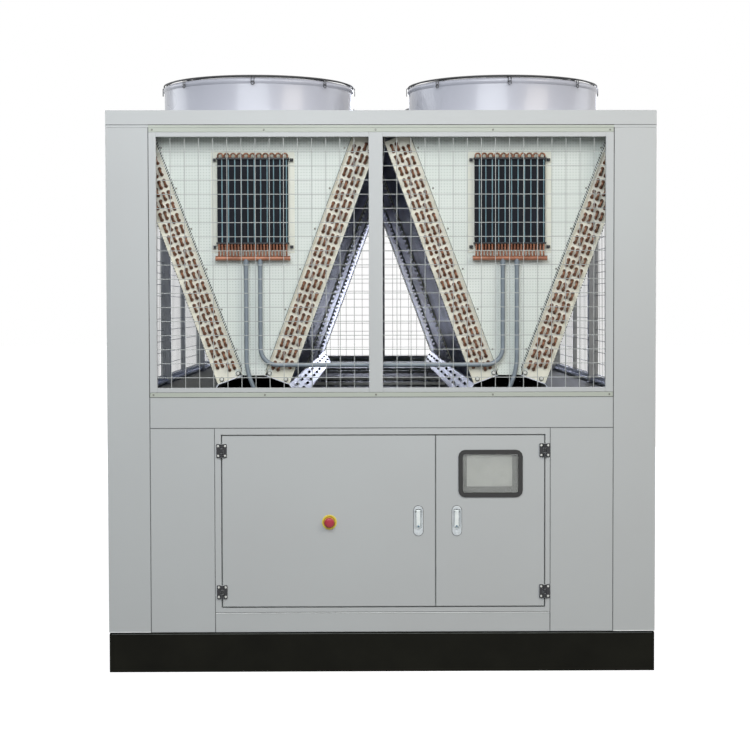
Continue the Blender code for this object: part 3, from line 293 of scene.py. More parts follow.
@dataclass(frozen=True)
class DimpledSheet(Finish):
    """Coated sheet with rows of small round dimples."""

    pitch_mm: float = 12.0
    dimple_share: float = 0.16
    dimple_fade: float = 1.6
    dimple_shade_colour: str = "#BDC7C0"

    def dress(self, tree: Tree, shader: Node) -> None:
        """Paint shade into a square grid of dimples and mottle the ground softly."""
        values = {"Scale": 1.0 / (self.pitch_mm * MM), "Randomness": 0.0}
        grid = add_node(tree, "ShaderNodeTexVoronoi", {"voronoi_dimensions": "2D"}, values)
        axes = add_node(tree, "ShaderNodeSeparateXYZ", links={"Vector": self.place(tree)})
        links = {"X": axes.outputs["X"], "Y": axes.outputs["Z"]}
        flat = add_node(tree, "ShaderNodeCombineXYZ", links=links)
        tree.links.new(flat.outputs["Vector"], grid.inputs["Vector"])
        values = {"From Min": self.dimple_share, "From Max": self.dimple_share * self.dimple_fade}
        values |= {"To Min": 1.0, "To Max": 0.0}
        dot = add_node(tree, "ShaderNodeMapRange", values=values, links={"Value": grid.outputs["Distance"]})
        cloud = self.spread(tree, self.cloud(tree, self.mottle_mm), 0.0, 1.0)
        ground = blend(tree, cloud, self.colour, self.second_colour)
        mixed = blend(tree, dot.outputs["Result"], ground, self.dimple_shade_colour)
        tree.links.new(mixed, shader.inputs["Base Color"])


@dataclass(frozen=True)
class FinnedFace(Finish):
    """Pressed fins on tubes: fine lines one way, faint tube rows the other; the lines are painted shade
    between the fin edges and painted sheen on them.
    """

    fin_mm: float = 9.0
    row_mm: float = 25.4
    row_share: float = 0.4
    along: str = "Y"

    def band(self, tree: Tree, axis: str, pitch_mm: float) -> Socket:
        """Return a smooth band pattern across one axis.

        Args:
            tree: The node tree of the material.
            axis: X, Y or Z, the axis that the bands follow each other along.
            pitch_mm: The distance from band to band in millimetres.

        Returns:
            The band factor.
        """
        settings = {"wave_type": "BANDS", "bands_direction": axis, "wave_profile": "SIN"}
        # Blender's wave repeats every pi over ten units of its scaled coordinate.
        values = {"Scale": math.pi / 10 / (pitch_mm * MM)}
        links = {"Vector": self.place(tree)}
        return add_node(tree, "ShaderNodeTexWave", settings, values, links).outputs["Fac"]

    def dress(self, tree: Tree, shader: Node) -> None:
        """Draw the fins as painted shade and sheen with relief, and the tube rows as relief."""
        fins = self.band(tree, self.along, self.fin_mm)
        rows = self.band(tree, "Z", self.row_mm)
        blotches = self.spread(tree, self.cloud(tree, self.mottle_mm), 0.0, 1.0)
        both = add_node(tree, "ShaderNodeMath", {"operation": "MULTIPLY"}, links={0: fins, 1: blotches})
        self.tint(tree, shader, both.outputs["Value"])
        settings, values = {"operation": "MULTIPLY_ADD"}, {1: self.row_share}
        height = add_node(tree, "ShaderNodeMath", settings, values, {0: rows, 2: fins})
        self.roughen(tree, shader, height.outputs["Value"])


@dataclass(frozen=True)
class ClearPane(Finish):
    """Clear flat glass with a slight tint."""

    index: float = 1.45

    def dress(self, tree: Tree, shader: Node) -> None:
        """Let light through and keep the reflections."""
        shader.inputs["Transmission Weight"].default_value = 1.0
        shader.inputs["IOR"].default_value = self.index
        smears = self.cloud(tree, self.mottle_mm)
        gloss = self.spread(tree, smears, self.roughness, self.roughness + GLOSS_SPREAD)
        tree.links.new(gloss, shader.inputs["Roughness"])


# Polyester powder coat on steel sheet, light grey: a fine orange peel, even and half matt.
# Its real peel is about 2 mm and is drawn at 9 mm so that it shows.
PANEL = Finish("powder_coat_light_grey", "#BABEBE", 0.0, 0.46, "#B7BABA", 700.0, 9.0, 0.05)
# The same coat on folded trim in a greener batch, which the eye reads as a separate strip.
TRIM = Finish("powder_coat_grey_green", "#B3B9AF", 0.0, 0.48, "#ADB3A8", 400.0, 9.0, 0.05)
# Brushed enamel on the heavy base: near black, with a dull sheen and faint runs.
BASE = Finish("enamel_black_brushed", "#13130F", 0.0, 0.55, "#1B1B16", 160.0, 16.0, 0.25, 0.0, 0.06)
# Galvanised sheet at the coil feet, bright and cool with small crystals.
ZINC = SpangledZinc("galvanised_sheet_bright", "#DCE3EF", 0.3, 0.36, "#E8EDF6")
# Coated end sheets between the coils: a warm greenish white with rows of dimples, darkened as painted shade.
END_SHEET = DimpledSheet("dimpled_sheet_pale", "#DFE5E0", 0.0, 0.46, "#D5DDD7", 260.0)
# Aluminium tube sheets, dull cream from oxide.
TUBE_SHEET = Finish("aluminium_tube_sheet_dull", "#E6E5D8", 0.1, 0.5, "#DAD9C9", 60.0, 6.0, 0.08)
# Pressed aluminium fins: painted shade between the edges, and a cool blue-grey painted sheen on them.
# The real fins stand 2 mm apart and are drawn at 9 mm so that they show.
FINS = FinnedFace("pressed_fins_blue_grey", "#36415F", 0.6, 0.4, "#9AA3D0", 500.0, 0.0, 0.35)
# Drawn copper after brazing: brown oxide, made darker still and mottled, its dark patches painted shade and
# its redder patches painted highlight.
SHADED_OXIDE_COPPER = Finish("copper_tube_oxidised", "#38261B", 0.45, 0.4, "#94664C", 11.0, 5.0, 0.05)
# Copper behind the front stubs, darkened as painted shade in the gaps between them.
DARK_COPPER = Finish("copper_tube_browned", "#3A2118", 0.2, 0.5, "#55301F", 12.0, 4.0, 0.05)
# Cleaned copper of the header: brighter and redder.
COPPER = Finish("copper_tube_bright", "#A06D54", 0.45, 0.36, "#7A4F3B", 30.0, 5.0, 0.04)
# Black epoxy on the small coil's fins, with a faint blue painted sheen on the fin edges.
DARK_FINS = FinnedFace(
    "epoxy_fins_black", "#0C0E13", 0.0, 0.55, "#1B1E29", 120.0, 0.0, 0.4, 0.0, 0.12, along="Z", fin_mm=4.0
)
# Tubes in front of those fins, pale teal-grey as painted highlight along each tube.
TUBE_HIGHLIGHT = Finish("tube_painted_highlight_teal", "#7C9FA8", 0.1, 0.34, "#587683", 90.0, 8.0, 0.03)
# Painted steel pipe, blue-grey and half gloss.
PIPE = Finish("painted_pipe_blue_grey", "#818C95", 0.1, 0.42, "#727D86", 80.0, 6.0, 0.04)
# Glossy coat on the spun fan cowls, with a lilac cast.
COWL = Finish("gloss_coat_lilac_grey", "#AEB0BA", 0.0, 0.3, "#A6A8B2", 500.0, 14.0, 0.06, 0.2)
# Polyethylene-dipped guard wire, black with soft highlights.
DIPPED_WIRE = Finish("dipped_wire_black", "#17181A", 0.0, 0.4, "#202124", 40.0, 4.0, 0.04)
# Welded mesh wire, zinc under a light grey coat.
MESH_WIRE = Finish("welded_mesh_light_grey", "#B2B6B4", 0.1, 0.44, "#A5A9A7", 60.0, 4.0, 0.03)
# Die-cast fan blades and motor housing in dark grey coat.
BLADE = Finish("cast_aluminium_dark_coat", "#3A3D41", 0.2, 0.46, "#44474B", 120.0, 6.0, 0.05)
# Walkable steel deck under the coils: dark, dusty and worn.
DECK = Finish("steel_deck_dusty", "#46483F", 0.25, 0.6, "#5E6054", 90.0, 12.0, 0.2)
# Moulded rubber of the window gasket.
RUBBER = Finish("rubber_moulded_black", "#121212", 0.0, 0.6, "#1A1A1A", 60.0, 5.0, 0.05)
# Window pane of the display.
PANE = ClearPane("glass_pane_clear", "#F6F7F6", 0.0, 0.03)
# Display housing behind the pane: pale moulded plastic.
DISPLAY = Finish("display_housing_grey", "#7E807C", 0.0, 0.5, "#727470", 60.0, 6.0, 0.03)
# Unlit display screen: a paler and smoother grey.
SCREEN = Finish("display_screen_unlit", "#ABADA8", 0.0, 0.3, "#9FA19C", 40.0, 6.0, 0.01)
# Moulded signal plastics of the emergency stop.
RED = Finish("moulded_plastic_red", "#B01E3A", 0.0, 0.36, "#9E1932", 30.0, 3.0, 0.02, 0.1)
YELLOW = Finish("moulded_plastic_yellow", "#E4D450", 0.0, 0.42, "#D8C844", 30.0, 3.0, 0.02)
# Notched sheet edges beside the coils, dark.
NOTCHED_EDGE = Finish("notched_sheet_edge_dark", "#5D625F", 0.3, 0.5, "#3F4341", 30.0, 4.0, 0.05)
# Black-coated die-cast hinges.
HINGE = Finish("zinc_casting_black_coat", "#1C1D1F", 0.15, 0.42, "#25262A", 20.0, 3.0, 0.06)
# Satin zinc casting of the handle dishes and the polished levers.
DISH = Finish("zinc_casting_satin", "#D3D8DA", 0.15, 0.36, "#BEC5C9", 20.0, 3.0, 0.04)
LEVER = Finish("chrome_plate_satin", "#ECF1EF", 0.1, 0.34, "#DDE5E3", 20.0, 3.0, 0.02)
# Plated screws, small and bright with a yellow cast.
SCREW = Finish("zinc_plated_screw", "#8E8F88", 0.6, 0.4, "#6F7069", 6.0, 2.0, 0.05)
# Inside of the handle pockets, duller than the rim and made pale as painted light that lifts the pocket's
# shade.
PALE_RECESS = Finish("zinc_casting_painted_light", "#E2E7E8", 0.1, 0.5, "#D4DADB", 12.0, 3.0, 0.05)
# Nickel-plated screw heads of the hinges, which show as bright dots on the black.
BRIGHT_SCREW = Finish("nickel_plated_screw", "#DADBD6", 0.2, 0.34, "#C6C8C3", 6.0, 2.0, 0.03)
# Backing plates of the small coils, flat and creamier than the sheet behind.
COIL_PLATE = Finish("zinc_plate_cream", "#E0E2D6", 0.0, 0.46, "#D5D8CA", 150.0, 8.0, 0.05)
# Blue plastic caps on the handle levers.
BLUE_CAP = Finish("moulded_plastic_blue", "#2A6382", 0.0, 0.4, "#245874", 10.0, 2.0, 0.02)
# A thin dark grey line in the joints between panels: painted shade of the gaps.
SEAM = Finish("joint_painted_shade_grey", "#666969", 0.0, 0.6, "#5B5E5E", 60.0, 4.0, 0.02)
# Folded sheet edges and the teeth at the coil joints, made pale as painted highlight.
EDGE_HIGHLIGHT = Finish("edge_painted_highlight", "#E6E9E8", 0.1, 0.36, "#DADDDC", 60.0, 4.0, 0.02)
# Foam seal of the doors, mid grey, set in the gaps as painted light that lifts their shade.
PALE_DOOR_SEAL = Finish("door_seal_painted_light_grey", "#8F9493", 0.0, 0.8, "#828786", 40.0, 4.0, 0.05)
# Galvanised ribs of the deck, dull, and made pale as painted light against the shade under the coils.
RIB = Finish("galvanised_rib_painted_light", "#D8D9D0", 0.1, 0.5, "#C6C7BD", 80.0, 6.0, 0.05)
# A thin grey streak along the front of the base, just below its top edge.
BASE_STREAK = Finish("enamel_grey_streak", "#575B57", 0.0, 0.5, "#3A3D39", 45.0, 6.0, 0.05)
# The amber ring on the stop collar, deeper in colour than the rim: the printed legend ring, darkened further
# as painted shade round the button.
AMBER = Finish("moulded_plastic_amber", "#B07F12", 0.0, 0.5, "#9C6F0E", 30.0, 3.0, 0.02)
# Sealing strip between the tube sheets and the end sheets, dark grey-green.
EDGE_SEAL = Finish("rubber_strip_grey_green", "#566058", 0.0, 0.6, "#49534B", 50.0, 4.0, 0.04)


class Solids:
    """Collects many small solids into one mesh."""

    def __init__(self) -> None:
        """Start with nothing in the mesh."""
        self.blocks: list[np.ndarray] = []
        self.faces: list[tuple[int, ...]] = []
        self.count = 0

    def add(self, points: np.ndarray | Iterable[Point], faces: Iterable[Sequence[int]]) -> None:
        """Add points and the faces that number them from zero.

        Args:
            points: The new vertices.
            faces: Vertex numbers of each face, within the new vertices.
        """
        block = np.array(points, float).reshape(-1, 3)
        self.faces.extend(tuple(self.count + number for number in face) for face in faces)
        self.blocks.append(block)
        self.count += len(block)

    def merge(self, other: "Solids", matrices: Iterable[Matrix]) -> None:
        """Add a copy of other solids at each matrix.

        Args:
            other: The solids to copy.
            matrices: One placement for each copy.
        """
        points = other.points()
        for matrix in matrices:
            spin = np.array(matrix.to_3x3())
            shift = np.array(matrix.translation)
            self.add(points @ spin.T + shift, other.faces)

    def points(self) -> np.ndarray:
        """Return all vertices as rows of X, Y and Z."""
        return np.concatenate(self.blocks) if self.blocks else np.zeros((0, 3))

    def box(self, low: Point, high: Point) -> None:
        """Add a box between two opposite corners."""
        x_pair, y_pair, z_pair = zip(low, high)
        corners = [(x, y, z) for x in x_pair for y in y_pair for z in z_pair]
        faces = ((0, 1, 3, 2), (4, 6, 7, 5), (0, 4, 5, 1), (2, 3, 7, 6), (0, 2, 6, 4), (1, 5, 7, 3))
        self.add(corners, faces)

    def loft(self, rings: Sequence[np.ndarray], closed: bool = False, capped: bool = True) -> None:
        """Add a skin over rings of equal point counts.

        Args:
            rings: Point rows around each section, in order.
            closed: Whether the last ring joins the first.
            capped: Whether open ends get a face.
        """
        size = len(rings[0])
        faces: list[tuple[int, ...]] = []
        last = len(rings) if closed else len(rings) - 1
        for one in range(last):
            two = (one + 1) % len(rings)
            for step in range(size):
                after = (step + 1) % size
                a, b = one * size + step, one * size + after
                c, d = two * size + after, two * size + step
                faces.append((a, b, c, d))
        if capped and not closed:
            faces.append(tuple(range(size - 1, -1, -1)))
            faces.append(tuple((len(rings) - 1) * size + step for step in range(size)))
        self.add(np.concatenate(rings), faces)

    def tube(self, path: Sequence[Point], radius: float, sides: int = 8, closed: bool = False) -> None:
        """Add a round tube or wire along a path.

        Args:
            path: The centreline.
            radius: The tube's radius.
            sides: Faces around the tube.
            closed: Whether the path is a loop.
        """
        line = [Vector(point) for point in path]
        count = len(line)
        rings = []
        across = None
        for index, here in enumerate(line):
            before = line[index - 1] if closed or index > 0 else here
            after = line[(index + 1) % count] if closed or index < count - 1 else here
            along = (after - before).normalized()
            if across is None:
                guess = Vector((0.0, 0.0, 1.0)) if abs(along.z) < 0.9 else Vector((1.0, 0.0, 0.0))
                across = along.cross(guess)
            across = (across - along * across.dot(along)).normalized()
            other = along.cross(across)
            turns = [2 * math.pi * step / sides for step in range(sides)]
            ring = [here + (across * math.cos(t) + other * math.sin(t)) * radius for t in turns]
            rings.append(np.array([tuple(point) for point in ring]))
        self.loft(rings, closed)

    def turned(
        self,
        profile: Sequence[Pair],
        segments: int,
        centre: Point = (0.0, 0.0, 0.0),
        axis: Point = (0.0, 0.0, 1.0),
        closed: bool = False,
    ) -> None:
        """Turn a profile of radii and heights round an axis.

        Args:
            profile: Pairs of radius and height along the axis.
            segments: Steps round the axis.
            centre: The point of height zero.
            axis: The direction of the heights.
            closed: Whether the profile is a loop, as for a ring.
        """
        up = Vector(axis).normalized()
        side = up.orthogonal().normalized()
        other = up.cross(side)
        middle = Vector(centre)
        rings = []
        for step in range(segments):
            turn = 2 * math.pi * step / segments
            out = side * math.cos(turn) + other * math.sin(turn)
            rings.append(np.array([tuple(middle + out * r + up * h) for r, h in profile]))
        size = len(profile)
        spans = size if closed else size - 1
        faces = []
        for one in range(segments):
            two = (one + 1) % segments
            for step in range(spans):
                after = (step + 1) % size
                faces.append((one * size + step, two * size + step, two * size + after, one * size + after))
        self.add(np.concatenate(rings), faces)

    def prism(self, outline: Sequence[Pair], low: float, high: float, axis: str = "Y") -> None:
        """Extrude a closed outline along one axis.

        Args:
            outline: Corner pairs in the plane across the axis.
            low: Where the solid starts on the axis.
            high: Where it ends.
            axis: X, Y or Z.
        """
        places: dict[str, Callable[[float, float, float], Point]] = {
            "X": lambda a, b, c: (c, a, b),
            "Y": lambda a, b, c: (a, c, b),
            "Z": lambda a, b, c: (a, b, c),
        }
        place = places[axis]
        rings = [np.array([place(a, b, level) for a, b in outline]) for level in (low, high)]
        self.loft(rings)

    def screw(self, centre: Point, out: Point, radius: float) -> None:
        """Add a pan-head screw that stands out of a face.

        Args:
            centre: The middle of the head on the face.
            out: The direction away from the face.
            radius: The head's radius.
        """
        height = radius * 0.55
        profile = ((radius, -0.2 * MM), (radius, height * 0.4), (radius * 0.75, height), (0.0, height * 1.15))
        self.turned(profile, 10, centre, out)


def piece(
    name: str,
    solids: Solids,
    finish: Finish,
    slot: Slot,
    body: Body = Body.UNIT,
    replaces: Sequence[str] = (),
    bevel_mm: float = 0.0,
    place: Point = (0.0, 0.0, 0.0),
) -> bpy.types.Object:
    """Turn collected solids into one finished piece on its body.

    Args:
        name: The piece's name.
        solids: Its mesh.
        finish: Its surface.
        slot: The record's material slot that it belongs to; not used.
        body: The body that it rides on.
        replaces: CAD nodes that it stands for.
        bevel_mm: Width of the rounded edges, or zero for none.
        place: Where the mesh's origin goes.

    Returns:
        The new object.
    """
    mesh = bpy.data.meshes.new(name)
    mesh.from_pydata(solids.points().tolist(), [], solids.faces)
    mesh.materials.append(finish.material())
    mesh.polygons.foreach_set("use_smooth", [True] * len(mesh.polygons))
    mesh.set_sharp_from_angle(angle=SHARP_ANGLE)
    made = linked(name, mesh)
    made.location = place
    if bevel_mm:
        soften(made, bevel_mm)
    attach(made, body.value)
    if replaces:
        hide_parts(*replaces)
    LOG.info("%s: %d faces", name, len(mesh.polygons))
    return made


def soften(made: bpy.types.Object, width_mm: float) -> None:
    """Round a piece's sharp edges so that they catch the light."""
    bevel = made.modifiers.new("rounded_edges", "BEVEL")
    bevel.width = width_mm * MM
    bevel.segments = 2
    bevel.limit_method = "ANGLE"
    bevel.angle_limit = math.radians(40)
    bevel.harden_normals = False


def coat(finish: Finish, *nodes: str) -> None:
    """Give CAD nodes a finish in place of their plain one.

    Args:
        finish: The new surface.
        nodes: The names of the CAD nodes.
    """
    for name in nodes:
        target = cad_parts[name]
        for place in target.material_slots:
            place.material = finish.material()
        LOG.info("%s coated with %s", name, finish.name)


def stadium(centre: Pair, width: float, height: float, steps: int) -> Pairs:
    """Return the outline of an upright slot with round ends.

    Args:
        centre: Its middle.
        width: Its width, twice the radius of the ends.
        height: Its whole height.
        steps: Steps in each round end.

    Returns:
        The outline's points.
    """
    radius = width / 2
    reach = height / 2 - radius
    points = []
    for middle, start in ((centre[1] + reach, 0.0), (centre[1] - reach, math.pi)):
        for step in range(steps + 1):
            turn = start + math.pi * step / steps
            points.append((centre[0] + radius * math.cos(turn), middle + radius * math.sin(turn)))
    return points


def rounded(x_pair: Point, z_pair: Point, radius: float, steps: int) -> Pairs:
    """Return a rectangle's outline with round corners.

    Args:
        x_pair: The left and right limits.
        z_pair: The lower and upper limits.
        radius: The corner radius.
        steps: Steps in each corner.

    Returns:
        The outline's points.
    """
    corners = ((1, 1, 0.0), (0, 1, 0.5), (0, 0, 1.0), (1, 0, 1.5))
    points = []
    for right, upper, start in corners:
        middle_x = x_pair[right] + (-radius if right else radius)
        middle_z = z_pair[upper] + (-radius if upper else radius)
        for step in range(steps + 1):
            turn = math.pi * (start + 0.5 * step / steps)
            points.append((middle_x + radius * math.cos(turn), middle_z + radius * math.sin(turn)))
    return points


@dataclass
class Layout:
    """The unit's main faces and levels, read from the frame."""

    half_width: float = 0.0
    front: float = 0.0
    rear: float = 0.0
    column_inner: float = 0.0
    deck_top: float = 0.0
    tray_bottom: float = 0.0
    roof: float = 0.0
    bay_count: int = 3

    def __post_init__(self) -> None:
        """Read each face from a node that has it."""
        column_low, column_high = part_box("corner_column_front_left")
        self.half_width = -column_low.x
        self.front = column_low.y
        self.rear = -column_low.y
        self.column_inner = -column_high.x
        self.deck_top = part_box("left_v_support")[0].z
        self.tray_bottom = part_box("roof_frame_front")[0].z
        self.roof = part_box("fan_deck_front")[1].z

    def bay(self) -> float:
        """Return the length of one bay."""
        return 2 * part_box("roof_frame_middle")[1].y

    def v_centre(self, side: int) -> float:
        """Return the middle of the left or the right V."""
        low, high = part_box("right_v_support")
        return side * (low.x + high.x) / 2


@dataclass
class Enclosure:
    """The painted lower enclosure, the columns and the black base."""

    layout: Layout
    screw_radius: float = 4.5 * MM
    screw_inset: float = 0.012
    screw_level_inset: float = 0.036
    roof_screw_inset: float = 0.024
    roof_screw_steps: int = 6
    roof_screw_x: tuple[float, ...] = (-0.9, -0.45, 0.0, 0.45, 0.9)
    rib_places: tuple[float, ...] = (1.65, 2.25, 3.27, 3.74)
    rib_half: float = 0.330
    rib_width: float = 0.040
    rib_height: float = 0.012
    seam: float = 2.7 * MM
    seam_proud: float = 0.4 * MM
    edge_bead: float = 1.7 * MM
    drip_height: float = 0.0085
    drip_proud: float = 0.35 * MM
    drip_end_inset: float = 0.5 * MM
    beam_seam: float = 3.0 * MM
    base_corner: float = 0.010
    corner_points: int = 7
    streak_drop: float = 0.0065
    streak_height: float = 0.0030
    streak_proud: float = 0.4 * MM
    panels: tuple[str, ...] = (
        *(f"corner_column_{end}_{side}" for end in ("front", "rear") for side in ("left", "right")),
        "lower_panel_front_left",
        "lower_panel_front_right",
        "plinth_panel",
        "header_panel",
        "rear_panel",
        "side_panels_left",
        "side_panels_right",
        "control_cabinet",
        "left_door",
        "right_door",
        *(f"{kind}_{bay}" for kind in ("roof_frame", "fan_deck") for bay in ("front", "middle", "rear")),
    )

    def build(self) -> None:
        """Coat the sheet metal and the base, and add the panel screws."""
        coat(PANEL, *self.panels)
        coat(BASE, "base_frame")
        coat(DECK, "middle_deck")
        self.rib_caps()
        self.side_screws()
        self.roof_screws()
        self.front_seams()
        self.drip_edge()
        self.folded_edges()
        self.base_plates()

    def rib_caps(self) -> None:
        """Cap the ribs of the deck with folded strips, pale as painted light."""
        caps = Solids()
        for place in self.rib_places:
            middle = self.layout.front + place
            low = (-self.rib_half, middle - self.rib_width / 2 - LAP, self.layout.deck_top)
            top = self.layout.deck_top + self.rib_height + LAP
            caps.box(low, (self.rib_half, middle + self.rib_width / 2 + LAP, top))
        piece("deck_rib_caps", caps, RIB, Slot.DECK, bevel_mm=1.0)

    def side_screws(self) -> None:
        """Add screws along the joints of the long side panels and the rear panel."""
        screws = Solids()
        low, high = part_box("side_panels_right")
        levels = (low.z + self.screw_level_inset, (low.z + high.z) / 2, high.z - self.screw_level_inset)
        joints = (low.y, -self.layout.bay() / 2, self.layout.bay() / 2, high.y)
        for side in (-1, 1):
            for index, joint in enumerate(joints):
                for lean in (-1, 1):
                    outside = (index == 0 and lean < 0) or (index == len(joints) - 1 and lean > 0)
                    if outside:
                        continue
                    for level in levels:
                        place = (side * self.layout.half_width, joint + lean * self.screw_inset, level)
                        screws.screw(place, (side, 0, 0), self.screw_radius)
        low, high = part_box("rear_panel")
        for across in (low.x + self.screw_inset, 0.0, high.x - self.screw_inset):
            for level in levels:
                screws.screw((across, self.layout.rear, level), (0, 1, 0), self.screw_radius)
        piece("panel_screws", screws, SCREW, Slot.ZINC)

    def roof_screws(self) -> None:
        """Add screws round the edges of the roof decks."""
        screws = Solids()
        inset = self.roof_screw_inset
        for name in ("front", "middle", "rear"):
            low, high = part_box(f"fan_deck_{name}")
            for along in np.linspace(low.y + inset, high.y - inset, self.roof_screw_steps + 1):
                for side in (-1, 1):
                    screws.screw((side * (high.x - inset), along, high.z), (0, 0, 1), self.screw_radius)
            for end in (low.y + inset, high.y - inset):
                for across in self.roof_screw_x:
                    screws.screw((across, end, high.z), (0, 0, 1), self.screw_radius)
        piece("roof_screws", screws, SCREW, Slot.ZINC)

    def front_seams(self) -> None:
        """Lay a thin dark strip of painted shade along each joint of the front panels."""
        seams, grille_seams = Solids(), Solids()
        half = self.seam / 2
        near, deep = self.layout.front - self.seam_proud, self.layout.front + LAP
        column_low, column_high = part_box("corner_column_front_left")
        header_low, header_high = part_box("header_panel")
        plinth_low, plinth_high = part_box("plinth_panel")
        for side in (-1, 1):
            x = side * self.layout.column_inner
            seams.box((x - half, near, column_low.z), (x + half, deep, header_high.z))
            grille_seams.box((x - half, near, header_high.z), (x + half, deep, column_high.z))
        for x in (plinth_low.x, plinth_high.x):
            seams.box((x - half, near, column_low.z), (x + half, deep, header_low.z))
        inner = self.layout.column_inner
        spans = ((-inner, inner, header_low.z), (-inner, inner, header_high.z))
        spans += ((plinth_low.x, plinth_high.x, plinth_high.z),)
        for left, right, level in spans:
            seams.box((left, near, level - half), (right, deep, level + half))
        piece("front_seams", seams, SEAM, Slot.RUBBER)
        piece("grille_seams", grille_seams, RUBBER, Slot.RUBBER)

    def drip_edge(self) -> None:
        """Add the folded lower edge of the roof beam, and a dark strip of painted shade for the joint above
        it.
        """
        near, seam_low = self.layout.front - self.drip_proud, self.layout.tray_bottom + self.drip_height
        inner, outer = self.layout.column_inner, self.layout.half_width - self.drip_end_inset
        edge, joint = (self.layout.tray_bottom - LAP, seam_low), (seam_low, seam_low + self.beam_seam)
        ends, middle = ((-outer, -inner), (inner, outer)), ((-inner, inner),)
        for name, spans, (low, high), finish, slot in (
            ("beam_edge_ends", ends, edge, PANEL, Slot.PANEL),
            ("beam_edge_strip", middle, edge, TRIM, Slot.PANEL),
            ("beam_joint", middle, joint, RUBBER, Slot.RUBBER),
            ("beam_joint_ends", ends, joint, SEAM, Slot.RUBBER),
        ):
            strips = Solids()
            for left, right in spans:
                strips.box((left, near, low), (right, self.layout.front, high))
            piece(name, strips, finish, slot)

    def folded_edges(self) -> None:
        """Add the folds at the top of the plinth and the foot of the columns, pale as painted highlight."""
        edges = Solids()
        bead, sides = self.edge_bead, 10
        y = self.layout.front - bead * 0.2
        plinth_low, plinth_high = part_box("plinth_panel")
        ends = (plinth_low.x + 2 * MM, plinth_high.x - 2 * MM)
        edges.tube([(x, y, plinth_high.z - self.seam / 2 - bead) for x in ends], bead, sides)
        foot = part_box("corner_column_front_left")[0].z + bead
        for side in (-1, 1):
            ends = (side * (self.layout.column_inner + 2 * MM), side * (self.layout.half_width - 3 * MM))
            edges.tube([(x, y, foot) for x in ends], bead, sides)
        piece("folded_edges", edges, EDGE_HIGHLIGHT, Slot.PANEL)

    def base_plates(self) -> None:
        """Add the side plates of the base and a thin grey streak along its front."""
        low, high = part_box("base_frame")
        plates = Solids()
        for side in (-1, 1):
            inner, outer = side * (high.x - LAP), side * self.layout.half_width
            outline = [(inner, high.z), (inner, low.z), (outer, low.z)]
            for turn in np.linspace(0.0, math.pi / 2, self.corner_points):
                x = outer - side * self.base_corner * (1 - math.cos(turn))
                outline.append((x, high.z - self.base_corner * (1 - math.sin(turn))))
            plates.prism(outline, low.y, high.y)
        piece("base_side_plates", plates, BASE, Slot.BASE)
        streak = Solids()
        top = high.z - self.streak_drop
        half = self.layout.half_width - self.base_corner
        streak.box((-half, low.y - self.streak_proud, top - self.streak_height), (half, low.y, top))
        piece("base_grey_streak", streak, BASE_STREAK, Slot.BASE)


@dataclass
class Hinge:
    """One black leaf hinge, split between the cabinet and its door."""

    name: str
    axis_x: float
    level: float
    toward_door: int
    door: Body
    front: float
    height: float = 0.056
    axis_proud: float = 0.0066
    knuckle: float = 0.0063
    knuckle_gap: float = 0.0006
    leaf_start: float = 0.0068
    leaf_end: float = 0.0216
    leaf_proud: float = 0.0056
    screw_radius: float = 5.0 * MM
    screw_share: float = 0.36

    def leaf(self, direction: int, on_door: bool) -> tuple[Solids, Solids]:
        """Return one half of the hinge and its screws.

        Args:
            direction: Minus one or one, the side of the axis it lies on.
            on_door: Whether it has the middle knuckle.

        Returns:
            The casting and the two screws.
        """
        casting, screws = Solids(), Solids()
        half = self.height / 2
        x_pair = sorted((self.axis_x + direction * self.leaf_start, self.axis_x + direction * self.leaf_end))
        outline = rounded(x_pair, (self.level - half - 0.3 * MM, self.level + half + 0.3 * MM), 2 * MM, 3)
        casting.prism(outline, self.front - self.leaf_proud, self.front)
        sixth, inset = self.height / 6, self.knuckle_gap / 2
        outer = ((-half, -sixth - self.knuckle_gap), (sixth + self.knuckle_gap, half))
        for low, high in ((-sixth, sixth),) if on_door else outer:
            bottom, top = low + inset, high - inset
            profile = ((0.0, bottom), (self.knuckle, bottom), (self.knuckle, top), (0.0, top))
            casting.turned(profile, 20, (self.axis_x, self.front - self.axis_proud, self.level))
        middle = self.axis_x + direction * (self.leaf_start + self.leaf_end) / 2
        for lean in (-1, 1):
            place = (middle, self.front - self.leaf_proud, self.level + lean * self.height * self.screw_share)
            screws.screw(place, (0, -1, 0), self.screw_radius)
        return casting, screws

    def build(self) -> None:
        """Make the fixed half and the door's half."""
        for body, direction, on_door in (
            (Body.UNIT, -self.toward_door, False),
            (self.door, self.toward_door, True),
        ):
            casting, screws = self.leaf(direction, on_door)
            part = "door" if on_door else "fixed"
            piece(f"{self.name}_{part}_leaf", casting, HINGE, Slot.RUBBER, body, bevel_mm=0.6)
            piece(f"{self.name}_{part}_screws", screws, BRIGHT_SCREW, Slot.ZINC, body)


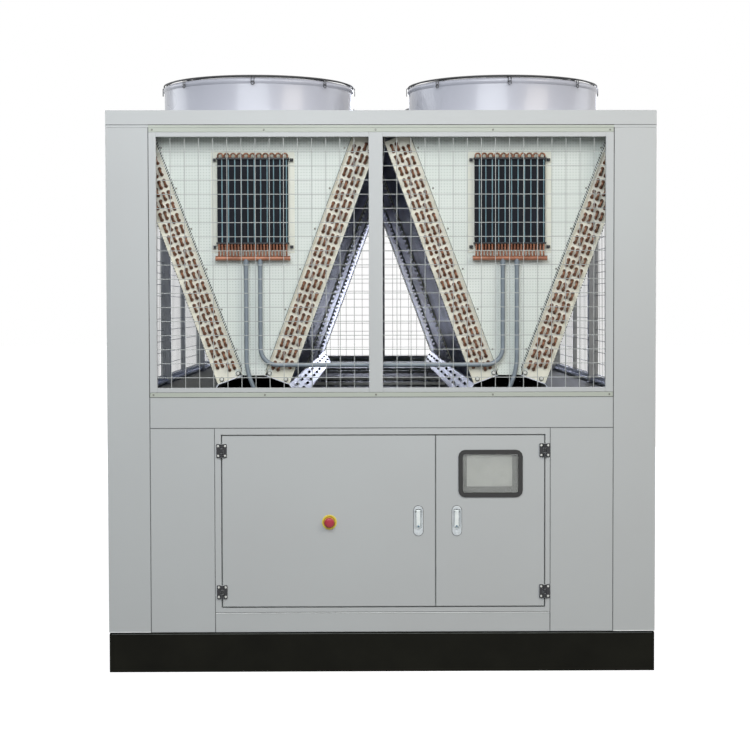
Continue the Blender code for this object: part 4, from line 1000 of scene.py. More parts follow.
@dataclass
class Handle:
    """A swing handle's dish, its shadowed pocket and its lock."""

    name: str
    centre_x: float
    body: Body
    front: float
    level: float = 0.634
    width: float = 0.038
    height: float = 0.124
    wall: float = 0.0035
    rim_proud: float = 0.0030
    pocket_height: float = 0.0845
    pocket_top_inset: float = 0.0135
    pocket_depth: float = 0.0095
    dish_depth: float = 0.0155
    pocket_radius: float = 0.010
    lock_radius: float = 0.0072
    lock_level: float = 0.5835
    keyway_size: Pair = (0.6 * MM, 3.0 * MM)
    rim_spread: float = 1.0 * MM
    gasket_width: float = 1.7 * MM
    gasket_proud: float = 0.8 * MM
    lining_inset: float = 0.4 * MM
    corner_steps: int = 8

    def oval(self, spread: float) -> Pairs:
        """Return the dish's outline, made wider and higher by a spread."""
        centre = (self.centre_x, self.level)
        return stadium(centre, self.width + spread, self.height + spread, 2 * self.corner_steps + 1)

    def build(self) -> None:
        """Make the dish rim, the pocket lining and the lock."""
        pocket_top = self.level + self.height / 2 - self.pocket_top_inset
        half = self.width / 2 - self.wall
        x_pair = (self.centre_x - half, self.centre_x + half)
        z_pair = (pocket_top - self.pocket_height, pocket_top)
        outer = self.oval(self.rim_spread)
        inner = rounded(x_pair, z_pair, self.pocket_radius, self.corner_steps)
        # The dark gasket round the dish also stands in as painted shade at the dish's edge.
        gasket = Solids()
        edge = self.oval(self.rim_spread + 2 * self.gasket_width)
        gasket.loft(self.collar(edge, outer, self.front - self.gasket_proud), closed=True)
        piece(f"{self.name}_gasket", gasket, RUBBER, Slot.RUBBER, self.body)
        rim = Solids()
        face = self.front - self.rim_proud
        rim.loft(self.collar(outer, inner, face), closed=True)
        piece(f"{self.name}_dish_rim", rim, DISH, Slot.CHROME, self.body, bevel_mm=0.5)
        # The pocket lining is pale as painted light against the pocket's shade.
        lining = Solids()
        back = self.front + self.pocket_depth
        sunk = [(low + self.lining_inset, high - self.lining_inset) for low, high in (x_pair, z_pair)]
        liner = rounded(*sunk, self.pocket_radius - LAP, self.corner_steps)
        lining.prism(liner, back, self.front + self.dish_depth)
        piece(f"{self.name}_pocket_floor", lining, PALE_RECESS, Slot.CHROME, self.body)
        lock = Solids()
        wide, bed = self.lock_radius, 1.4 * MM
        profile = ((wide, 0.0), (wide, 1.6 * MM), (wide - 1.2 * MM, 2.2 * MM))
        profile += ((wide - 2.2 * MM, bed), (0.0, bed))
        x, z = self.centre_x, self.lock_level
        lock.turned(profile, 24, (x, face, z), (0, -1, 0))
        piece(f"{self.name}_lock", lock, DISH, Slot.CHROME, self.body)
        keyway = Solids()
        half, rise = self.keyway_size
        keyway.box((x - half, face - 1.8 * MM, z - rise), (x + half, face - 1.0 * MM, z + rise))
        piece(f"{self.name}_keyway", keyway, PALE_RECESS, Slot.CHROME, self.body)

    def collar(
        self, outer: Pairs, inner: Pairs, face: float
    ) -> list[np.ndarray]:
        """Return the four rings of a flat collar between two outlines.

        Args:
            outer: The outer outline.
            inner: The inner outline, with as many points.
            face: The front of the collar.

        Returns:
            Rings for the outer back, outer front, inner front and inner back.
        """
        back = self.front + LAP
        places = ((outer, back), (outer, face), (inner, face), (inner, back))
        return [np.array([(x, y, z) for x, z in line]) for line, y in places]


@dataclass
class ControlCabinet:
    """The cabinet's hinges, handles, window and emergency stop."""

    layout: Layout
    hinge_inset: float = 0.061
    cad_knuckle: float = 0.006
    handle_places: Pair = (0.1512, 0.3118)
    screen_x: Pair = (0.3535, 0.543)
    screen_z: Pair = (0.776, 0.906)
    window_ring: float = 0.0185
    display_depth: float = 0.0128
    stop_bore: float = 0.0078
    ring_radii: Pair = (0.0212, 0.0252)
    seal_width: float = 2.2 * MM
    seal_depths: Pair = (1.2 * MM, 7.0 * MM)
    cap_radius: float = 3.4 * MM
    cap_rise: float = 0.0055
    door_z: Pair = (0.277, 0.989)
    door_x: tuple[Pair, ...] = ((-0.664, 0.220), (0.226, 0.675))

    def build(self) -> None:
        """Dress the doors and build their fittings."""
        self.hinges()
        for place, body in zip(self.handle_places, (Body.WIDE_DOOR, Body.NARROW_DOOR)):
            Handle(f"{body.value}_handle", place, body, self.layout.front).build()
        self.lever_caps()
        coat(LEVER, "left_handle_lever", "right_handle_lever")
        self.window()
        self.emergency_stop()
        self.door_seals()

    def lever_caps(self) -> None:
        """Set a small blue cap on the lower end of each lever."""
        levers = (("left_handle_lever", Body.WIDE_LEVER), ("right_handle_lever", Body.NARROW_LEVER))
        for name, body in levers:
            low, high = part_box(name)
            cap = Solids()
            profile = ((self.cap_radius, -1 * MM), (self.cap_radius, 0.6 * MM), (0.0, 0.9 * MM))
            cap.turned(profile, 20, ((low.x + high.x) / 2, low.y, low.z + self.cap_rise), (0, -1, 0))
            piece(f"{name}_cap", cap, BLUE_CAP, Slot.CHROME, body)

    def hinges(self) -> None:
        """Make the four hinges on the two doors."""
        left_low, left_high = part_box("left_door")
        right_low, right_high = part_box("right_door")
        sides = (
            (Body.WIDE_DOOR, left_low.x + self.cad_knuckle, 1, left_low, left_high),
            (Body.NARROW_DOOR, right_high.x - self.cad_knuckle, -1, right_low, right_high),
        )
        for body, axis, toward, low, high in sides:
            for part, level in (("lower", low.z + self.hinge_inset), ("upper", high.z - self.hinge_inset)):
                name = f"{body.value}_{part}_hinge"
                Hinge(name, axis, level, toward, body, self.layout.front).build()

    def window(self) -> None:
        """Coat the gasket and pane and set the display behind the pane."""
        coat(RUBBER, "window_gasket")
        coat(PANE, "window_glass")
        y = self.layout.front + self.display_depth
        low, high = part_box("window_gasket")
        x_pair = (low.x + self.window_ring - LAP, high.x - self.window_ring + LAP)
        z_pair = (low.z + self.window_ring - LAP, high.z - self.window_ring + LAP)
        plate = Solids()
        plate.prism(rounded(x_pair, z_pair, 9 * MM, 5), y, y + 2 * MM)
        piece("display_housing", plate, DISPLAY, Slot.GLASS, Body.NARROW_DOOR)
        screen = Solids()
        screen.prism(rounded(self.screen_x, self.screen_z, 2 * MM, 3), y - 1.2 * MM, y + 0.5 * MM)
        piece("display_screen", screen, SCREEN, Slot.GLASS, Body.NARROW_DOOR, bevel_mm=0.4)

    def door_seals(self) -> None:
        """Fit a pale foam seal round the edge of each door, set back in the gap as painted light that lifts
        the gap's shade.
        """
        near, far = (self.layout.front + depth for depth in self.seal_depths)
        bottom, top = self.door_z
        wide = self.seal_width
        for body, (left, right) in zip((Body.WIDE_DOOR, Body.NARROW_DOOR), self.door_x):
            seal = Solids()
            seal.box((left - wide, near, bottom), (left, far, top))
            seal.box((right, near, bottom), (right + wide, far, top))
            seal.box((left, near, bottom - wide), (right, far, bottom))
            seal.box((left, near, top), (right, far, top + wide))
            piece(f"{body.value}_seal", seal, PALE_DOOR_SEAL, Slot.RUBBER, body)

    def emergency_stop(self) -> None:
        """Make the round plate and the mushroom button from the frame's own sizes."""
        plate_low, plate_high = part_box("emergency_stop_plate")
        radius = (plate_high.x - plate_low.x) / 2
        front = self.layout.front
        centre = ((plate_low.x + plate_high.x) / 2, front, (plate_low.z + plate_high.z) / 2)
        out, around = (0, -1, 0), 48
        plate = Solids()
        rim, proud, behind = 2.0 * MM, front - plate_low.y, front - plate_high.y
        profile = (
            (self.stop_bore, behind),
            (self.stop_bore, proud),
            (0.015, proud),
            (0.0155, proud - 0.6 * MM),
            (0.0155, rim + 0.3 * MM),
            (radius - 1.0 * MM, rim + 0.3 * MM),
            (radius, rim - 0.4 * MM),
            (radius, 0.3 * MM),
            (0.011, 0.3 * MM),
            (0.011, behind),
        )
        plate.turned(profile, around, centre, out, closed=True)
        piece("emergency_stop_collar", plate, YELLOW, Slot.YELLOW, Body.WIDE_DOOR, ("emergency_stop_plate",))
        # The amber ring is the legend ring, with painted shade round the button.
        ring = Solids()
        inner, outer = self.ring_radii
        profile = ((inner, rim), (inner, rim + 0.7 * MM), (outer, rim + 0.7 * MM), (outer, rim))
        ring.turned(profile, around, centre, out, closed=True)
        piece("emergency_stop_ring", ring, AMBER, Slot.YELLOW, Body.WIDE_DOOR)
        low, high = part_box("emergency_stop_button")
        head = (high.x - low.x) / 2
        depth = front - low.y
        head_back = depth - 13 * MM
        stem = self.stop_bore - 0.6 * MM
        mushroom = Solids()
        profile = (
            (0.0, depth),
            (head * 0.45, depth - 0.3 * MM),
            (head * 0.75, depth - 1.5 * MM),
            (head * 0.93, depth - 3.8 * MM),
            (head, depth - 6.8 * MM),
            (head, depth - 9.5 * MM),
            (head * 0.95, head_back),
            (stem, head_back),
            (stem, front - high.y),
            (0.0, front - high.y),
        )
        mushroom.turned(profile, around, centre, out)
        piece("emergency_stop_mushroom", mushroom, RED, Slot.RED, Body.BUTTON, ("emergency_stop_button",))


@dataclass
class CoilBank:
    """One sloping condenser coil: fins, tube sheets and brazed return bends."""

    number: int
    centre_x: float
    side: int
    layout: Layout
    thickness: float = 0.110
    foot_out: float = 0.150
    foot_rise: float = 0.0725
    head_drop: float = 0.0526
    end_sheet: float = 0.003
    proud: float = 0.004
    joint_width: float = 0.030
    joint_edge: float = 0.014
    joint_seal: float = 0.0028
    tooth_share: float = 0.5
    fold: float = 0.014
    fold_sheet: float = 2 * MM
    tube_pitch: float = 0.0254
    tube_radius: float = 0.0054
    bell: float = 2.4 * MM
    column_pitch: float = 0.022
    column_start: float = 0.022
    columns: int = 4
    bends_per_column: int = 21
    bend_straight: float = 0.006
    bend_squash: float = 0.85
    first_bend: float = 0.026
    lowest_bend: float = 0.040
    bolt_pitch: float = 0.135
    bolt_inset: float = 0.03
    bolt_radius: float = 4.0 * MM

    def __post_init__(self) -> None:
        """Work out the coil's slope from its foot and its head."""
        low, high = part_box(f"coil_{self.number}")
        self.end_low, self.end_high = low.y, high.y
        head_x = low.x if self.side < 0 else high.x
        self.foot = Vector((self.centre_x + self.side * self.foot_out, self.layout.deck_top + self.foot_rise))
        head = Vector((head_x, self.layout.tray_bottom - self.head_drop))
        self.up = (head - self.foot).normalized()
        self.length = (head - self.foot).length
        self.inward = Vector((-self.side * self.up.y, self.side * self.up.x))

    def place(self, along: float, across: float) -> Pair:
        """Return world X and Z of a point in the coil's section.

        Args:
            along: Distance up the slope from the foot.
            across: Distance into the V from the outer face.

        Returns:
            X and Z.
        """
        point = self.foot + self.up * along + self.inward * across
        return (point.x, point.y)

    def section(self, inset: float) -> Pairs:
        """Return the corners of the section, set in by a margin."""
        low, high = inset, self.length - inset
        near, far = inset, self.thickness - inset
        return [self.place(low, near), self.place(high, near), self.place(high, far), self.place(low, far)]

    def build(self) -> None:
        """Make the fin pack, the sheets, the bends and the bolts."""
        pack = Solids()
        half = self.end_sheet / 2
        pack.prism(self.section(self.proud), self.end_low + half, self.end_high - half)
        piece(f"coil_{self.number}_fins", pack, FINS, Slot.FINS, replaces=(f"coil_{self.number}",))
        self.sheets()
        for end in End:
            self.bends(end)

    def sheets(self) -> None:
        """Make the end sheets, the section joints and the top rail."""
        sheets, bolts = Solids(), Solids()
        full = self.section(0.0)
        sheets.prism(full, self.end_low, self.end_low + self.end_sheet)
        sheets.prism(full, self.end_high - self.end_sheet, self.end_high)
        for joint in (-self.layout.bay() / 2, self.layout.bay() / 2):
            sheets.prism(full, joint - self.joint_width / 2, joint + self.joint_width / 2)
        head_x, head_z = self.place(self.length, 0.0)
        rail = sorted((head_x, head_x - self.side * self.end_sheet))
        top = self.layout.tray_bottom - 0.3 * MM
        sheets.box((rail[0], self.end_low, head_z - 2 * self.proud), (rail[1], self.end_high, top))
        self.joint_edges()
        self.flanges(sheets, bolts)
        piece(f"coil_{self.number}_sheets", sheets, TUBE_SHEET, Slot.ZINC)
        piece(f"coil_{self.number}_bolts", bolts, SCREW, Slot.ZINC)

    def strip(self, along: Pair, across: Pair) -> Pairs:
        """Return a rectangle of the section between two runs and two depths."""
        a, b = self.place(along[0], across[0]), self.place(along[1], across[0])
        c, d = self.place(along[1], across[1]), self.place(along[0], across[1])
        return [a, b, c, d]

    def joint_edges(self) -> None:
        """Stand a toothed edge on its seal on the outer face at each section joint, its teeth pale as painted
        highlight.
        """
        edges, seals = Solids(), Solids()
        for joint in (-self.layout.bay() / 2, self.layout.bay() / 2):
            face = joint - self.joint_width / 2
            foot = self.strip((0.0, self.length), (-self.joint_seal, 0.0))
            seals.prism(foot, face, face + self.end_sheet)
            for index in range(int(self.length / self.tube_pitch)):
                start = (index + 0.25) * self.tube_pitch
                run = (start, start + self.tube_pitch * self.tooth_share)
                tooth = self.strip(run, (-self.joint_edge, -self.joint_seal))
                edges.prism(tooth, face, face + self.end_sheet)
        piece(f"coil_{self.number}_joint_edges", edges, EDGE_HIGHLIGHT, Slot.ZINC)
        piece(f"coil_{self.number}_joint_seals", seals, EDGE_SEAL, Slot.RUBBER)

    def flanges(self, sheets: Solids, bolts: Solids) -> None:
        """Add the folded edges of the front and rear sheets with their bolts.

        Args:
            sheets: Takes the folds.
            bolts: Takes the bolts.
        """
        for end_y, out in ((self.end_low, -1), (self.end_high, 1)):
            for across in (0.0, self.thickness - self.fold_sheet):
                edge = self.strip((0.0, self.length), (across, across + self.fold_sheet))
                sheets.prism(edge, *sorted((end_y, end_y + out * self.fold)))
        half_bay = self.layout.bay() / 2
        joints = (self.end_low + self.bolt_inset, -half_bay, half_bay, self.end_high - self.bolt_inset)
        count = int(self.length / self.bolt_pitch) + 1
        for index in range(count):
            x, z = self.place(self.length * (index + 0.5) / count, 0.0)
            for joint in joints:
                bolts.screw((x, joint, z), (-self.inward.x, 0, -self.inward.y), self.bolt_radius)

    def bend(self) -> Solids:
        """Return one return bend that stands out toward -Y, tubes a pitch apart along X."""
        shape = Solids()
        radius = self.tube_pitch / 2
        path = [(-radius, 0.0, 0.0), (-radius, -self.bend_straight, 0.0)]
        for step in range(1, 8):
            turn = math.pi * step / 8
            out = self.bend_straight + radius * self.bend_squash * math.sin(turn)
            path.append((-radius * math.cos(turn), -out, 0.0))
        path += [(radius, -self.bend_straight, 0.0), (radius, 0.0, 0.0)]
        shape.tube(path, self.tube_radius, 8)
        for lean in (-1, 1):
            wide = self.tube_radius + self.bell
            collar = ((wide, 0.0), (wide, 4 * MM), (wide - 1 * MM, 7 * MM), (self.tube_radius, 8 * MM))
            shape.turned(collar, 10, (lean * radius, 0.0, 0.0), (0, -1, 0))
        return shape

    def bends(self, end: End) -> None:
        """Place the bends of one end in two pairs of columns half a step apart.

        Args:
            end: The end that they stand out of.
        """
        shape = self.bend()
        along = Vector((self.up.x, 0.0, self.up.y))
        out = Vector((0.0, float(end.value), 0.0))
        third = out.cross(along)
        face_y = self.end_low if end is End.FRONT else self.end_high
        matrices = []
        for column in range(self.columns):
            offset = self.tube_pitch if column // 2 else 0.0
            for index in range(self.bends_per_column):
                run = self.first_bend + offset + index * 2 * self.tube_pitch
                if run < self.lowest_bend or run + self.tube_pitch > self.length:
                    continue
                x, z = self.place(run, self.column_start + column * self.column_pitch)
                matrix = Matrix((along, -out, third)).transposed().to_4x4()
                matrix.translation = (x, face_y, z)
                matrices.append(matrix)
        bends = Solids()
        bends.merge(shape, matrices)
        # The bends' copper carries painted shade and highlight in its patches.
        piece(f"coil_{self.number}_{end.name.lower()}_bends", bends, SHADED_OXIDE_COPPER, Slot.COPPER)


@dataclass
class VBank:
    """A pair of coils, their end sheets and the folded sheet that carries them."""

    name: str
    side: int
    layout: Layout
    stud_radius: float = 0.0065
    stud_height: float = 0.011
    stud_pitch: float = 0.48
    stud_start: float = 0.35
    stud_rows: tuple[Pair, ...] = ((0.35, 0.0), (0.72, 0.5))
    stud_clear: float = 0.03
    foot_bolt_along: float = 0.0125
    foot_bolt_across: Pair = (0.021, 0.016)
    foot_bolt_radius: float = 0.0074
    foot_ear: tuple[float, float, float] = (0.016, 0.012, 0.014)
    foot_plate_thick: float = 3 * MM
    foot_plate_half: float = 0.058
    foot_plate_levels: Pair = (0.108, 0.136)
    bolt_radius: float = 4.2 * MM
    bolt_across: float = 14 * MM
    bolts_per_edge: int = 6
    notch_pitch: float = 0.0127
    notch_share: float = 0.55
    notch_width: float = 0.004
    notch_proud: float = 0.0025
    seal_width: float = 0.0030
    comb_pitch: float = 0.0109
    comb_share: float = 0.46
    comb_width: float = 0.0090
    comb_lean: float = 0.007

    def build(self) -> None:
        """Build both coils and dress the sheets round them."""
        centre = self.layout.v_centre(self.side)
        first = 1 if self.side < 0 else 3
        coils = [CoilBank(first, centre, -1, self.layout), CoilBank(first + 1, centre, 1, self.layout)]
        for coil in coils:
            coil.build()
        coat(ZINC, f"{self.name}_v_support")
        coat(END_SHEET, f"end_panel_front_{self.name}", f"end_panel_rear_{self.name}")
        self.edge_strips(coils)
        self.foot_plates(centre, coils)
        self.support_bolts(centre, coils[1])

    def edge_strips(self, coils: list[CoilBank]) -> None:
        """Add the notched edges, combs and sealing strips of the tube sheets, and the bolts.

        Args:
            coils: The V's two coils.
        """
        notches, seals, bolts, combs = Solids(), Solids(), Solids(), Solids()
        for coil in coils:
            for end_y, out in ((coil.end_low, -1), (coil.end_high, 1)):
                span = sorted((end_y, end_y + out * self.notch_proud))
                for index in range(int(coil.length / self.notch_pitch)):
                    start = (index + 0.5) * self.notch_pitch
                    run = (start, start + self.notch_share * self.notch_pitch)
                    notches.prism(coil.strip(run, (-self.notch_width, 0.0)), *span)
                if coil.side == self.side:
                    across = (coil.thickness, coil.thickness + self.comb_width)
                    for index in range(int(coil.length / self.comb_pitch)):
                        combs.prism(self.tooth(coil, index * self.comb_pitch, across), *span)
                else:
                    across = (coil.thickness, coil.thickness + self.seal_width)
                    seals.prism(coil.strip((0.0, coil.length), across), *span)
                for index in range(self.bolts_per_edge):
                    along = coil.length * (index + 0.6) / self.bolts_per_edge
                    x, z = coil.place(along, coil.thickness + self.bolt_across)
                    bolts.screw((x, end_y, z), (0, out, 0), self.bolt_radius)
        piece(f"{self.name}_v_edge_notches", notches, NOTCHED_EDGE, Slot.ZINC)
        piece(f"{self.name}_v_edge_seals", seals, EDGE_SEAL, Slot.RUBBER)
        piece(f"{self.name}_v_edge_combs", combs, RUBBER, Slot.RUBBER)
        piece(f"{self.name}_v_edge_bolts", bolts, SCREW, Slot.ZINC)

    def tooth(self, coil: CoilBank, start: float, across: Pair) -> Pairs:
        """Return one slanting tooth of the comb beside a tube sheet.

        Args:
            coil: The coil that it sits on.
            start: Its distance up the slope.
            across: Its two depths into the V.

        Returns:
            The four corners as X and Z.
        """
        near, far = across
        run, lean = self.comb_share * self.comb_pitch, self.comb_lean
        places = ((start, near), (start + run, near), (start + run + lean, far), (start + lean, far))
        return [coil.place(along, depth) for along, depth in places]

    def foot_plates(self, centre: float, coils: list[CoilBank]) -> None:
        """Add the plate across each end's foot and the white brackets on the coils.

        Args:
            centre: The middle of the V.
            coils: The V's two coils.
        """
        plates, washers, bolts = Solids(), Solids(), Solids()
        low, high = (self.layout.deck_top + level for level in self.foot_plate_levels)
        rim = self.foot_bolt_radius + 2.2 * MM
        disc = ((rim, -self.foot_plate_thick), (rim, 1 * MM), (0.0, 1 * MM))
        half = self.foot_plate_half
        ear_along, ear_inset, ear = self.foot_ear
        for end_y, out in ((coils[0].end_low, -1), (coils[0].end_high, 1)):
            face = end_y + out * self.foot_plate_thick
            near, far = sorted((end_y, face))
            plates.box((centre - half, near, low), (centre + half, far, high))
            for coil in coils:
                x, z = coil.place(ear_along, coil.thickness - ear_inset)
                plates.box((x - ear, near, z - ear), (x + ear, far, z + ear))
                for across in (self.foot_bolt_across[0], coil.thickness - self.foot_bolt_across[1]):
                    x, z = coil.place(self.foot_bolt_along, across)
                    washers.turned(disc, 20, (x, face, z), (0, out, 0))
                    bolts.screw((x, face + out * 1 * MM, z), (0, out, 0), self.foot_bolt_radius)
        piece(f"{self.name}_v_foot_plates", plates, END_SHEET, Slot.ZINC, bevel_mm=0.6)
        piece(f"{self.name}_v_foot_washers", washers, NOTCHED_EDGE, Slot.ZINC)
        piece(f"{self.name}_v_foot_bolts", bolts, BRIGHT_SCREW, Slot.ZINC)

    def support_bolts(self, centre: float, coil: CoilBank) -> None:
        """Add the dark bolts in the slopes of the folded sheet.

        Args:
            centre: The middle of the V.
            coil: The V's right coil.
        """
        bolts = Solids()
        foot_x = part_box(f"{self.name}_v_support")[1].x - centre
        low = Vector((foot_x, self.layout.deck_top + LAP))
        high = Vector((coil.foot_out, coil.foot.y))
        slope = (high - low).normalized()
        count = int((coil.end_high - coil.end_low) / self.stud_pitch)
        head = ((self.stud_radius, -LAP), (self.stud_radius, self.stud_height), (0.0, self.stud_height))
        for side in (-1, 1):
            out = Vector((side * slope.y, 0.0, -slope.x))
            for index in range(count):
                for share, shift in self.stud_rows:
                    spot = low.lerp(high, share)
                    along = coil.end_low + self.stud_pitch * (index + self.stud_start + shift)
                    if along <= coil.end_high - self.stud_clear:
                        bolts.turned(head, 6, (centre + side * spot.x, along, spot.y), out)
        piece(f"{self.name}_v_support_bolts", bolts, RUBBER, Slot.DECK)


@dataclass
class SmallCoil:
    """A small tube coil on the end sheet, with its copper header and pipes."""

    name: str
    centre_x: float
    side: int
    layout: Layout
    long_pipe_end: float
    width: float = 0.296
    bottom: float = 1.789
    top: float = 2.148
    plate_width: float = 0.349
    plate_bottom: float = 1.752
    plate_top: float = 2.1775
    bend_count: int = 11
    bend_radius: float = 0.0105
    bend_tube: float = 0.0039
    bend_rise: float = 0.007
    tube_radius: float = 0.0034
    fin_tube_share: float = 0.72
    stub_radius: float = 0.0034
    rear_stub_drop: float = 0.026
    rear_stub_back: float = 0.011
    header_radius: float = 0.0095
    header_level: float = 1.729
    pipe_radius: float = 0.0092
    pipe_bend: float = 0.070
    drop_bend: float = 0.028
    bend_share: float = 0.45
    lean: float = 0.045
    lean_rise: float = 0.130
    straight_foot: float = 0.020
    short_offset: float = -0.029
    long_offset: float = 0.030
    long_level: float = 1.283
    band_out: float = 0.030
    pipe_out: float = 0.024
    plate_out: float = 2.3 * MM
    fin_out: float = 20 * MM
    fin_in: float = 16 * MM
    ear_size: tuple[float, float, float] = (0.012, 0.007, 0.006)
    ear_screw: float = 5.5 * MM
    collar_proud: float = 1.0 * MM

    def __post_init__(self) -> None:
        """Find the faces that the coil sits on."""
        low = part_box("end_panel_front_left")[0]
        self.plate_front = low.y - self.plate_out
        self.pipe_y = low.y - self.pipe_out

    def build(self) -> None:
        """Make the plate, the fins, the tubes, the copper and the pipes."""
        self.plate_and_fins()
        self.tubes()
        self.copper()
        self.pipes()

    def plate_and_fins(self) -> None:
        """Make the backing plate with its ears, and the dark fin block."""
        plate = Solids()
        half = self.plate_width / 2
        x_pair = (self.centre_x - half, self.centre_x + half)
        outline = rounded(x_pair, (self.plate_bottom, self.plate_top), 4 * MM, 3)
        plate.prism(outline, self.plate_front, self.plate_front + 2 * MM)
        piece(f"{self.name}_plate", plate, COIL_PLATE, Slot.ZINC, replaces=(self.name,))
        half = self.width / 2 - 0.3 * MM
        fins = Solids()
        near, back = self.plate_front - self.fin_out, self.plate_front + self.fin_in
        fins.box((self.centre_x - half, near, self.bottom), (self.centre_x + half, back, self.top))
        piece(f"{self.name}_fins", fins, DARK_FINS, Slot.FINS)
        ears = Solids()
        out, wide, high = self.ear_size
        near = self.plate_front - out
        for across in (-1, 1):
            x = self.centre_x + across * (self.width / 2 + 2 * wide)
            for level in (self.bottom - 0.012, self.top - 0.008):
                ears.box((x - wide, near, level - high), (x + wide, self.plate_front, level + high))
                ears.screw((x, near, level), (0, -1, 0), self.ear_screw)
        piece(f"{self.name}_ears", ears, HINGE, Slot.ZINC, bevel_mm=0.5)

    def tube_places(self) -> list[float]:
        """Return the X of both legs of every bend."""
        pitch = self.width / self.bend_count
        places = []
        for index in range(self.bend_count):
            middle = self.centre_x - self.width / 2 + pitch * (index + 0.5)
            places += [middle - self.bend_radius, middle + self.bend_radius]
        return places

    def stub_places(self) -> list[float]:
        """Return the X of the stubs, two to a bend and evenly spaced."""
        count = 2 * self.bend_count
        left, pitch = self.centre_x - self.width / 2, self.width / count
        return [left + pitch * (index + 0.5) for index in range(count)]

    def tubes(self) -> None:
        """Make the vertical tubes in front of the fins and the bands that hold them."""
        tubes = Solids()
        for x in self.stub_places()[1::2]:
            run = [(x, self.pipe_y, self.bottom), (x, self.pipe_y, self.top)]
            tubes.tube(run, self.tube_radius * self.fin_tube_share, 8)
        # Their pale teal-grey is painted highlight along each tube.
        piece(f"{self.name}_tubes", tubes, TUBE_HIGHLIGHT, Slot.FINS)
        bands = Solids()
        half = self.width / 2 + 0.004
        for level, height in ((self.top - 0.007, 0.007), (self.bottom, 0.006)):
            low = (self.centre_x - half, self.plate_front - self.band_out, level)
            high = (self.centre_x + half, self.plate_front, level + height)
            bands.box(low, high)
        piece(f"{self.name}_bands", bands, HINGE, Slot.FINS, bevel_mm=0.5)

    def copper(self) -> None:
        """Make the return bends, the stubs with their collars, and the header."""
        bends = Solids()
        places = self.tube_places()
        for left, right in zip(places[::2], places[1::2]):
            middle, radius = (left + right) / 2, (right - left) / 2
            crown = self.top + self.bend_rise
            path = [(left, self.pipe_y, self.top - 6 * MM)]
            for step in range(9):
                turn = math.pi * (1 - step / 8)
                path.append((middle + radius * math.cos(turn), self.pipe_y, crown + radius * math.sin(turn)))
            path.append((right, self.pipe_y, self.top - 6 * MM))
            bends.tube(path, self.bend_tube, 10)
        # The bends' copper carries painted shade and highlight in its patches.
        piece(f"{self.name}_bends", bends, SHADED_OXIDE_COPPER, Slot.COPPER)
        stubs = Solids()
        thin, wide = self.stub_radius, self.stub_radius + self.collar_proud
        ring = ((thin, -0.004), (wide, -0.003), (wide, 0.003), (thin, 0.004))
        for x in self.stub_places():
            foot = (x, self.pipe_y, self.header_level)
            stubs.tube([foot, (x, self.pipe_y, self.bottom + 2 * MM)], self.stub_radius, 10)
            for level in (self.bottom - 0.006, self.header_level + 0.014):
                stubs.turned(ring, 10, (x, self.pipe_y, level))
        # A second, darker row behind the stubs fills their gaps with painted shade.
        rear_row = Solids()
        behind = self.pipe_y + self.rear_stub_back
        half_pitch = self.width / self.bend_count / 4
        for x in self.stub_places()[:-1]:
            levels = (self.bottom - self.rear_stub_drop, self.bottom + 2 * MM)
            rear_row.tube([(x + half_pitch, behind, level) for level in levels], self.stub_radius, 8)
        piece(f"{self.name}_rear_stubs", rear_row, DARK_COPPER, Slot.COPPER)
        half = self.width / 2 + 0.004
        ends = [self.centre_x - half, self.centre_x + half]
        stubs.tube([(x, self.pipe_y, self.header_level) for x in ends], self.header_radius, 20)
        wide = self.header_radius + 0.8 * MM
        cap = ((wide, -0.004), (wide, 0.004), (0.0, 0.005))
        for x, out in zip(ends, (-1, 1)):
            stubs.turned(cap, 20, (x, self.pipe_y, self.header_level), (out, 0, 0))
        piece(f"{self.name}_header", stubs, COPPER, Slot.COPPER)

    def pipes(self) -> None:
        """Make the straight pipe and the one that turns toward the middle."""
        pipes = Solids()
        foot = self.layout.deck_top
        short_x = self.centre_x + self.side * self.short_offset
        long_x = self.centre_x + self.side * self.long_offset
        y = self.pipe_y
        lean_x = short_x + self.side * self.lean
        run = [Vector((short_x, y, self.header_level)), Vector((short_x, y, foot + self.lean_rise))]
        run += [Vector((lean_x, y, foot + self.straight_foot)), Vector((lean_x, y, foot))]
        pipes.tube(self.eased(run), self.pipe_radius, 16)
        route = [Vector((long_x, y, self.header_level))]
        corner = Vector((long_x, y, self.long_level))
        turn_down = Vector((self.long_pipe_end, y, self.long_level))
        bottom = Vector((self.long_pipe_end, y, foot))
        route += self.elbow(route[0], corner, turn_down, self.pipe_bend)
        route += self.elbow(corner, turn_down, bottom, self.drop_bend)
        route.append(bottom)
        pipes.tube(route, self.pipe_radius, 16)
        thin, wide = self.pipe_radius, self.pipe_radius + 1.8 * MM
        collar = ((thin, -0.012), (wide, -0.010), (wide, 0.010), (thin, 0.012))
        for x in (short_x, long_x):
            pipes.turned(collar, 16, (x, y, self.header_level - 0.022))
        piece(f"{self.name}_pipes", pipes, PIPE, Slot.COPPER)

    def eased(self, run: list[Vector]) -> list[Vector]:
        """Return a run with its inner corners cut into short soft bends.

        Args:
            run: The corner points of the pipe.

        Returns:
            The points of the softened run.
        """
        points = [run[0]]
        for before, corner, after in zip(run, run[1:], run[2:]):
            back, ahead = before - corner, after - corner
            reach = self.bend_share * min(back.length, ahead.length)
            start, end = corner + back.normalized() * reach, corner + ahead.normalized() * reach
            for share in np.linspace(0.0, 1.0, 7):
                points.append(start.lerp(corner, share).lerp(corner.lerp(end, share), share))
        points.append(run[-1])
        return points

    def elbow(self, start: Vector, corner: Vector, end: Vector, radius: float) -> list[Vector]:
        """Return the points of a round bend between two straight runs.

        Args:
            start: A point on the first run.
            corner: Where the runs would meet.
            end: A point on the second run.
            radius: The radius of the bend.

        Returns:
            Points along the bend.
        """
        first = (start - corner).normalized()
        second = (end - corner).normalized()
        centre = corner + (first + second) * radius
        turns = np.linspace(0.0, math.pi / 2, 9)
        return [centre - (second * math.cos(turn) + first * math.sin(turn)) * radius for turn in turns]


